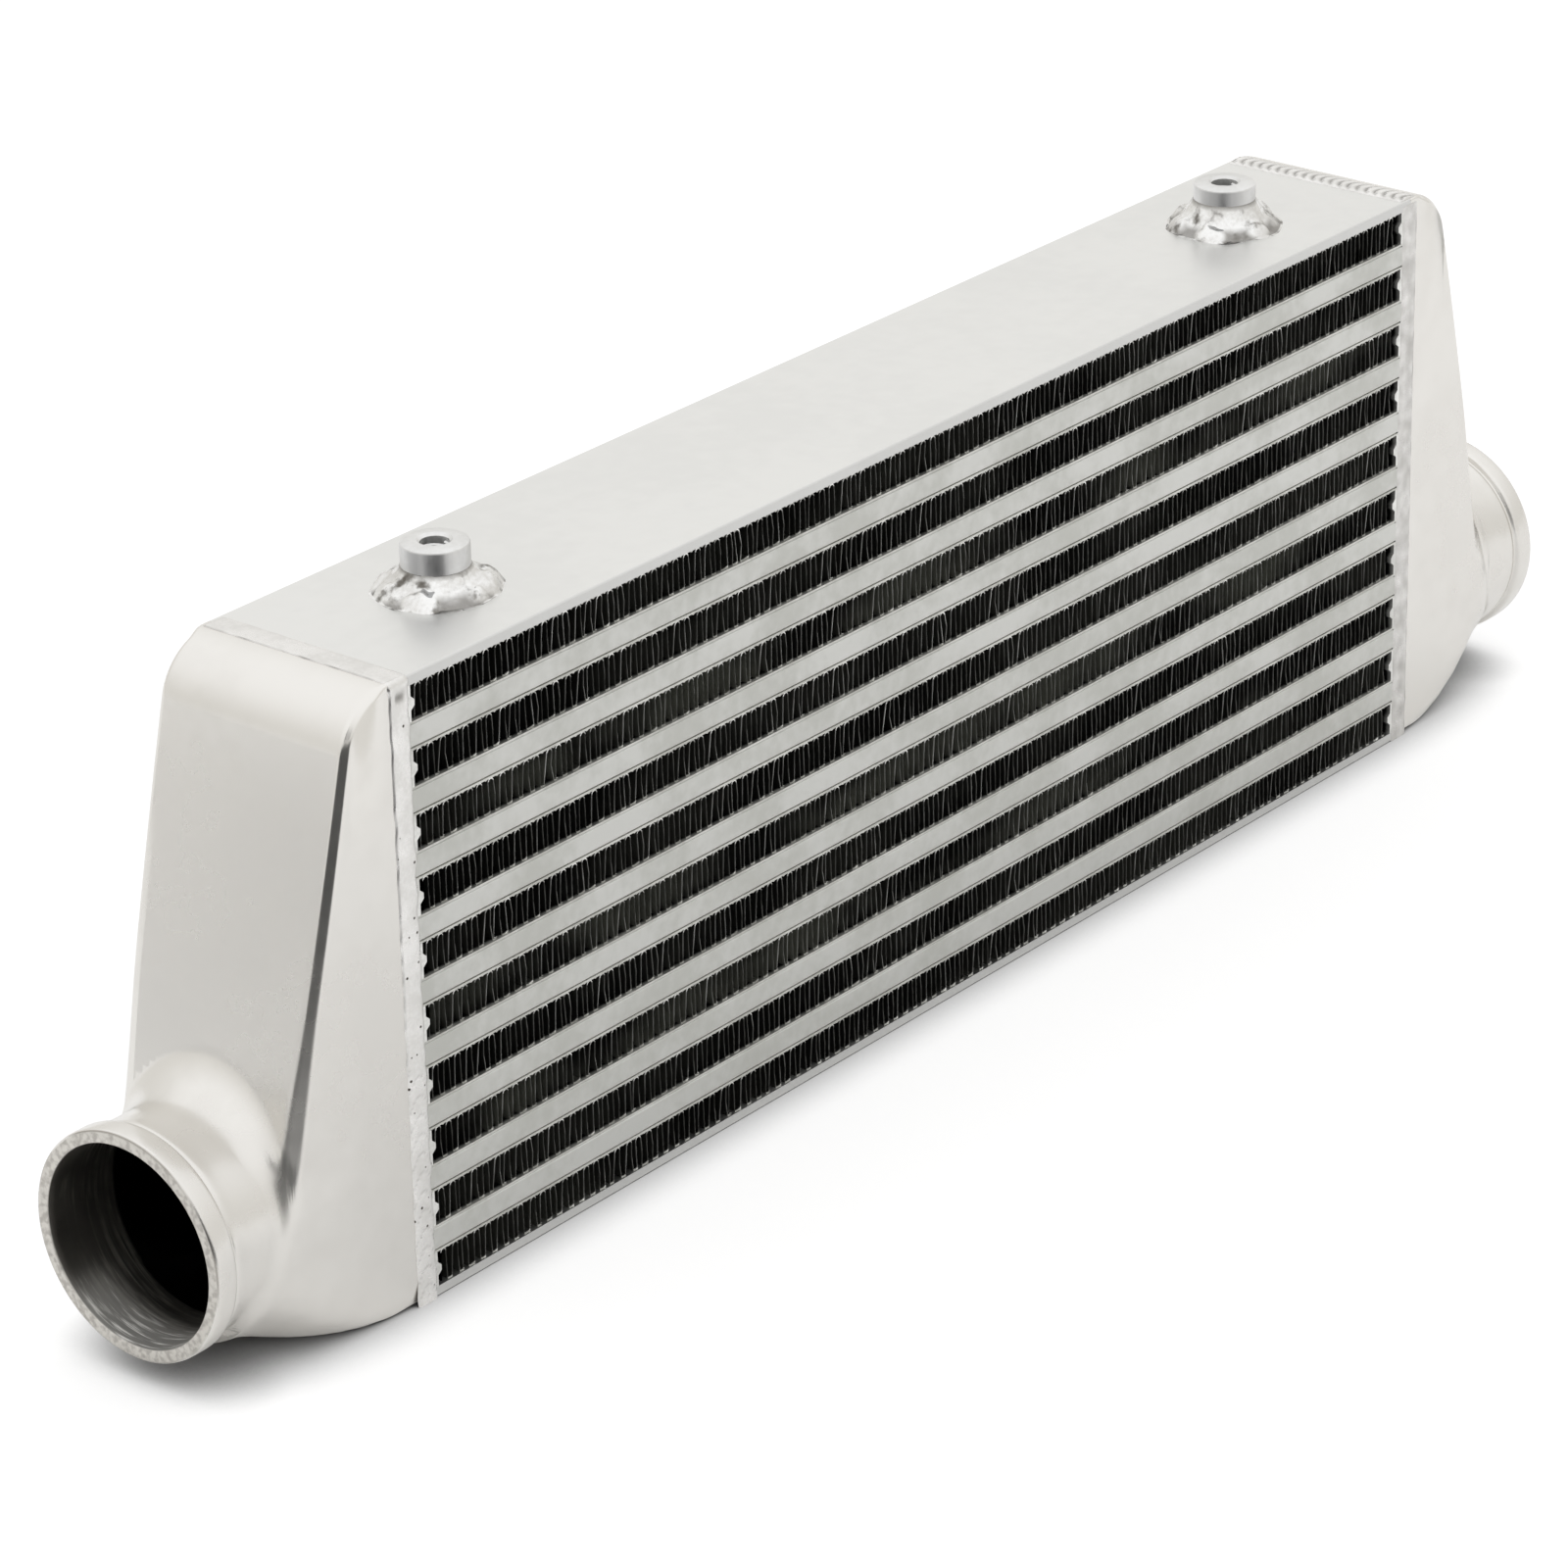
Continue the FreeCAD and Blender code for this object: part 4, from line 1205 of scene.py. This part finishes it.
@dataclass
class Boss:
    """A threaded boss on the top cover, with the lumpy weld round it."""

    side: Side
    seed: int
    radius: float = 9.4 * MM
    tall: float = 13.8 * MM
    hole: float = 3.4 * MM
    thread: float = 4.0 * MM
    pitch: float = 1.25 * MM
    depth: float = 12.0 * MM
    edge: float = 0.7 * MM
    weld_radius: float = 18.0 * MM
    weld_tall: float = 7.6 * MM
    lobes: int = 12
    lobe_size: tuple[float, float] = (4.2 * MM, 7.0 * MM)
    # direction and half width of the painted dark reflection on the side
    dark_reflection_turn: float = 207.0
    dark_reflection_half: float = 46.0

    def __post_init__(self) -> None:
        """Take the boss's place from the frame."""
        low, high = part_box(f"{self.side.word}_boss")
        self.centre = Vector(((low.x + high.x) / 2, (low.y + high.y) / 2, low.z))

    def turn(self, profile: list[tuple[float, float]], steps: int) -> bmesh.types.BMesh:
        """Turn a half section about the boss's axis.

        Args:
            profile: Radius and height of its corners.
            steps: How many steps make the full turn.

        Returns:
            The mesh, centred on the boss's foot.
        """
        bm = bmesh.new()
        corners = [bm.verts.new((radius, 0, up)) for radius, up in profile]
        edges = [bm.edges.new(pair) for pair in zip(corners, corners[1:])]
        bmesh.ops.spin(bm, geom=corners + edges, cent=(0, 0, 0), axis=(0, 0, 1), angle=2 * math.pi,
                       steps=steps, use_merge=True)
        bmesh.ops.remove_doubles(bm, verts=bm.verts[:], dist=0.002 * MM)
        bmesh.ops.recalc_face_normals(bm, faces=bm.faces[:])
        return bm

    def add_thread(self, bm: bmesh.types.BMesh) -> None:
        """Wind the thread's ridge down the hole.

        Args:
            bm: The boss's mesh.
        """
        turns = int((self.depth - 2.5 * MM) / self.pitch)
        start = self.tall - self.depth + 1.0 * MM
        outer = self.thread + 0.15 * MM
        tooth = [bm.verts.new((radius, 0, start + up * self.pitch))
                 for radius, up in ((outer, -0.45), (self.hole, -0.08), (self.hole, 0.08), (outer, 0.45))]
        edges = [bm.edges.new(pair) for pair in zip(tooth, tooth[1:] + tooth[:1])]
        steps = 40
        bmesh.ops.spin(bm, geom=tooth + edges, cent=(0, 0, 0), axis=(0, 0, 1), angle=2 * math.pi * turns,
                       steps=steps * turns, dvec=(0, 0, self.pitch / steps))

    def build(self, material: bpy.types.Material) -> bpy.types.Object:
        """Turn and thread the boss.

        Args:
            material: The boss's material.

        Returns:
            The piece.
        """
        edge, wall, hole, tall = self.edge, self.radius, self.thread, self.tall
        floor = tall - self.depth
        profile = [(0, 0), (wall, 0), (wall, tall - 1.5 * edge), (wall - 0.35 * edge, tall - 0.8 * edge),
                   (wall - 1.4 * edge, tall - 0.45 * edge), (wall - 5.0 * edge, tall),
                   (hole + 1.2 * edge, tall), (hole, tall - 1.1 * edge), (hole, floor), (0, floor - 1.2 * MM)]
        bm = self.turn(profile, 72)
        # the side is painted darker towards the front left as a dark reflection, over a light even tint all
        # round
        mark = bm.verts.layers.float.new("tint")
        for vert in bm.verts:
            if math.hypot(vert.co.x, vert.co.y) > wall - 0.5 * edge and vert.co.z < self.tall - edge:
                off = abs((math.degrees(math.atan2(vert.co.y, vert.co.x)) - self.dark_reflection_turn + 180) % 360 - 180)
                vert[mark] = 0.30 + 0.70 * max(0.0, 1 - (off / self.dark_reflection_half) ** 2) ** 0.8 \
                    if off < self.dark_reflection_half else 0.30
        self.add_thread(bm)
        bmesh.ops.translate(bm, verts=bm.verts[:], vec=self.centre)
        name = f"{self.side.word}_boss"
        return finish_piece(f"{name}_turned", bm, material, (name,), angle=28.0)

    def lay_weld(self, material: bpy.types.Material) -> bpy.types.Object:
        """Lay the lumpy weld round the boss.

        Args:
            material: The weld's material.

        Returns:
            The piece.
        """
        lap = self.weld_radius - self.radius
        steps = 30
        profile = [(self.radius - 0.6 * MM, self.weld_tall * 0.9)]
        profile += [(self.radius + lap * step / steps, 1.0 * MM) for step in range(steps + 1)]
        profile.append((self.weld_radius - 0.3 * MM, -0.05 * MM))
        bm = self.turn(profile, 200)
        draw = random.Random(self.seed * 7)
        lobes = []
        for index in range(self.lobes):
            angle = 2 * math.pi * (index + draw.uniform(-0.28, 0.28)) / self.lobes
            middle = self.radius + lap * draw.uniform(0.20, 0.50)
            size = draw.uniform(*self.lobe_size)
            lobes.append((Vector((math.cos(angle) * middle, math.sin(angle) * middle)), size,
                          draw.uniform(0.55, 0.85) * size))
        mark = bm.verts.layers.float.new("groove")
        for vert in bm.verts:
            radius = math.hypot(vert.co.x, vert.co.y)
            share = (radius - self.radius) / lap
            if share < -0.01 or vert.co.z < 0:
                continue
            here = Vector((vert.co.x, vert.co.y))
            base = (1 - min(max(share, 0.0), 1.0)) ** 1.8 * self.weld_tall * 0.92
            lumps = [tall * math.sqrt(max(0.0, 1 - (here - spot).length_squared / size ** 2))
                     for spot, size, tall in lobes]
            fine = noise.noise(Vector((vert.co.x * 420, vert.co.y * 420, self.seed)))
            crest = sum((lump / MM) ** 7 for lump in lumps + [base]) ** (1 / 7) * MM
            # the valleys between lumps and the foot of the boss are painted dark, as shade
            valley = max(1 - (crest - min(base, 1.6 * MM)) / (1.5 * MM), 0.0) if share < 0.9 else 0.0
            vert[mark] = max(0.8 * valley, 0.85 * max(1 - share / 0.10, 0.0))
            proud = crest + 0.5 * fine * MM * math.sin(math.pi * min(max(share, 0.0), 1.0))
            ring = Vector((vert.co.x, vert.co.y, 0)).normalized()
            edge = noise.noise(Vector((ring.x * 2.6, ring.y * 2.6, self.seed * 5.3)))
            vert.co.z = max(proud * (1 - max(share, 0.0) ** 6), 0.0)
            vert.co += ring * (1.3 * edge - 0.3) * MM * max(share, 0.0) ** 2
        bmesh.ops.translate(bm, verts=bm.verts[:], vec=self.centre)
        name = f"{self.side.word}_boss_weld"
        return finish_piece(f"{name}_bead", bm, material, (name,), angle=70.0)


# Studio
@dataclass
class Studio:
    """Pale floor, soft light and the camera."""

    azimuth: float = -50.4073
    elevation: float = 24.3896
    roll: float = -1.2218
    lens: float = 141.30
    eye: tuple[float, float, float] = (-1.27084, -1.02060, 0.79800)
    horizon: float = 0.86
    zenith: float = 1.14
    horizon_tone: RGB = (1.0, 0.985, 0.95)
    floor_glow: float = 0.04
    floor_white: float = 0.72
    floor_grey: float = 0.35
    shadow_reach: float = 24 * MM

    def light_world(self) -> None:
        """Soft light from all round, brighter from above, plain white to the camera."""
        world = bpy.data.worlds.new("studio")
        bpy.context.scene.world = world
        world.use_nodes = True
        graph = Graph(world.node_tree)
        background = world.node_tree.nodes["Background"]
        up = graph.axes(graph.add("ShaderNodeTexCoord").outputs["Generated"])["Z"]
        level = graph.span(up, 0.05, 0.85, self.horizon, self.zenith)
        seen = graph.add("ShaderNodeLightPath").outputs["Is Camera Ray"]
        spare = graph.times(seen, graph.math("SUBTRACT", 1.0, level))
        height = graph.span(up, 0.05, 0.85)
        tone = graph.mix(graph.math("MAXIMUM", height, seen), self.horizon_tone, (1.0, 1.0, 1.0))
        graph.feed(background.inputs["Color"], tone)
        graph.feed(background.inputs["Strength"], graph.math("ADD", level, spare))

    def lay_floor(self) -> None:
        """A plain pale floor that keeps the object's shadow, with a contact shadow painted into its colour from
        ambient occlusion.
        """
        bm = bmesh.new()
        bmesh.ops.create_grid(bm, x_segments=1, y_segments=1, size=6.0)
        bmesh.ops.translate(bm, verts=bm.verts[:], vec=(0, 0, -0.02 * MM))
        material, graph, inputs = new_material("pale_floor")
        inputs["Roughness"].default_value = 0.9
        inputs["Specular IOR Level"].default_value = 0.1
        tone = graph.mix(graph.blotch(graph.here(), 3.0), (0.92, 0.92, 0.92), (0.93, 0.93, 0.93))
        # a contact shadow is painted into the floor's colour from ambient occlusion, for camera rays only
        near = graph.add("ShaderNodeAmbientOcclusion", samples=16)
        near.inputs["Distance"].default_value = self.shadow_reach
        path = graph.add("ShaderNodeLightPath")
        seen = path.outputs["Is Camera Ray"]
        shade = graph.times(graph.span(near.outputs["AO"], 0.05, 0.95, 1.0, 0.0), seen)
        tone = graph.mix(seen, tone, (self.floor_grey,) * 3)
        graph.feed(inputs["Base Color"], graph.mix(shade, tone, (0.10, 0.10, 0.10)))
        inputs["Emission Color"].default_value = (1.0, 1.0, 1.0, 1.0)
        white = graph.math("SUBTRACT", self.floor_white, graph.times(shade, self.floor_white))
        glow = graph.times(path.outputs["Is Glossy Ray"], self.floor_glow)
        graph.feed(inputs["Emission Strength"], graph.math("ADD", graph.times(seen, white), glow))
        place_mesh("floor", bm, material)

    def card(self, name: str, corners: tuple[Vector, ...], tone: float) -> None:
        """A card seen only in the metal.

        Args:
            name: The card's name.
            corners: Its four corners in order round it.
            tone: How light it is, from 0 to 1.
        """
        bm = bmesh.new()
        bmesh.ops.create_grid(bm, x_segments=1, y_segments=1, size=1.0)
        order = {(-1, -1): 0, (1, -1): 1, (1, 1): 2, (-1, 1): 3}
        for vert in bm.verts:
            vert.co = corners[order[(round(vert.co.x), round(vert.co.y))]]
        material, graph, inputs = new_material(name)
        inputs["Roughness"].default_value = 0.95
        clouds = graph.blotch(graph.here(), 5.0)
        graph.feed(inputs["Base Color"], graph.mix(clouds, (tone,) * 3, (tone * 1.1,) * 3))
        item = place_mesh(name, bm, material)
        item.visible_camera = False
        item.visible_diffuse = False
        item.visible_shadow = False
        item.visible_transmission = False

    def hang_cards(self) -> None:
        """Dark card low in front of the left end, one round the camera, and a grey one at the left."""
        front = Vector((-0.64, -0.77, 0.0))
        beside = Vector((0.77, -0.64, 0.0))
        start = Vector((-0.24, -0.03, 0.0))
        near, far = start + front * 0.25, start + front * 0.95 + Vector((0, 0, 0.36))
        corners = (near - beside * 0.42, near + beside * 0.22, far + beside * 0.3, far - beside * 0.5)
        self.card("low_card", corners, 0.05)
        middle = Vector(self.eye) * 1.15
        up = Vector((0.28, 0.24, 0.92))
        corners = tuple(middle + beside * (0.25 * across) + up * (0.25 * high)
                        for across, high in ((-1, -1), (1, -1), (1, 1), (-1, 1)))
        self.card("camera_card", corners, 0.22)
        away = Vector((-0.81, 0.58, 0.0))
        along = Vector((0.58, 0.81, 0.0))
        post = Vector((-0.28, 0, 0)) + away * 0.5
        top = Vector((0, 0, 0.135))
        self.card("left_card", (post - along * 0.35, post + along * 0.10, post + along * 0.10 + top,
                                post - along * 0.35 + top), 0.68)

    def set_camera(self) -> None:
        """Put the camera where the photograph was taken from."""
        azimuth, elevation, roll = (math.radians(turn) for turn in (self.azimuth, self.elevation, self.roll))
        back = Vector((math.sin(azimuth) * math.cos(elevation), -math.cos(azimuth) * math.cos(elevation),
                       math.sin(elevation)))
        right = Vector((0, 0, 1)).cross(back).normalized()
        up = back.cross(right)
        tilt = Matrix.Rotation(roll, 3, back)
        right, up = tilt @ right, tilt @ up
        data = bpy.data.cameras.new("camera")
        data.sensor_width = 36.0
        data.sensor_fit = "HORIZONTAL"
        data.lens = self.lens
        data.clip_end = 50.0
        camera = bpy.data.objects.new("camera", data)
        turn = Matrix((right, up, back)).transposed().to_4x4()
        camera.matrix_world = Matrix.Translation(Vector(self.eye)) @ turn
        bpy.context.scene.collection.objects.link(camera)
        bpy.context.scene.camera = camera

    def build(self) -> None:
        """Set up the whole studio."""
        self.light_world()
        self.lay_floor()
        self.hang_cards()
        self.set_camera()
        bpy.context.scene.view_settings.view_transform = "Standard"


def main() -> None:
    """Build every piece in order."""
    logging.basicConfig(level=logging.INFO, format="%(name)s: %(message)s")
    core = Core()
    core.dress()
    core.fold_fins()
    cast = CAST.build()
    weld = WELD.build()
    boss_weld = BOSS_WELD.build()
    boss = BOSS.build()
    styles = {Side.LEFT: (WeldStyle.PITTED, WeldStyle.GROUND, WeldStyle.DIMES),
              Side.RIGHT: (WeldStyle.GROUND, WeldStyle.DIMES, WeldStyle.PITTED)}
    dullness = {Side.LEFT: 0.03, Side.RIGHT: 0.30}
    bosses = {Side.LEFT: Boss(Side.LEFT, 1),
              Side.RIGHT: Boss(Side.RIGHT, 2, weld_tall=9.4 * MM, lobes=7, lobe_size=(4.6 * MM, 6.4 * MM))}
    for seed, side in enumerate(Side, start=1):
        Tank(side).build(cast)
        front, top, rear = styles[side]
        TankWeld(side, front, top, rear, seed, dullness[side]).build(weld)
        fitting = bosses[side]
        fitting.build(boss)
        fitting.lay_weld(boss_weld)
    Studio().build()


if __name__ == "__main__":
    main()
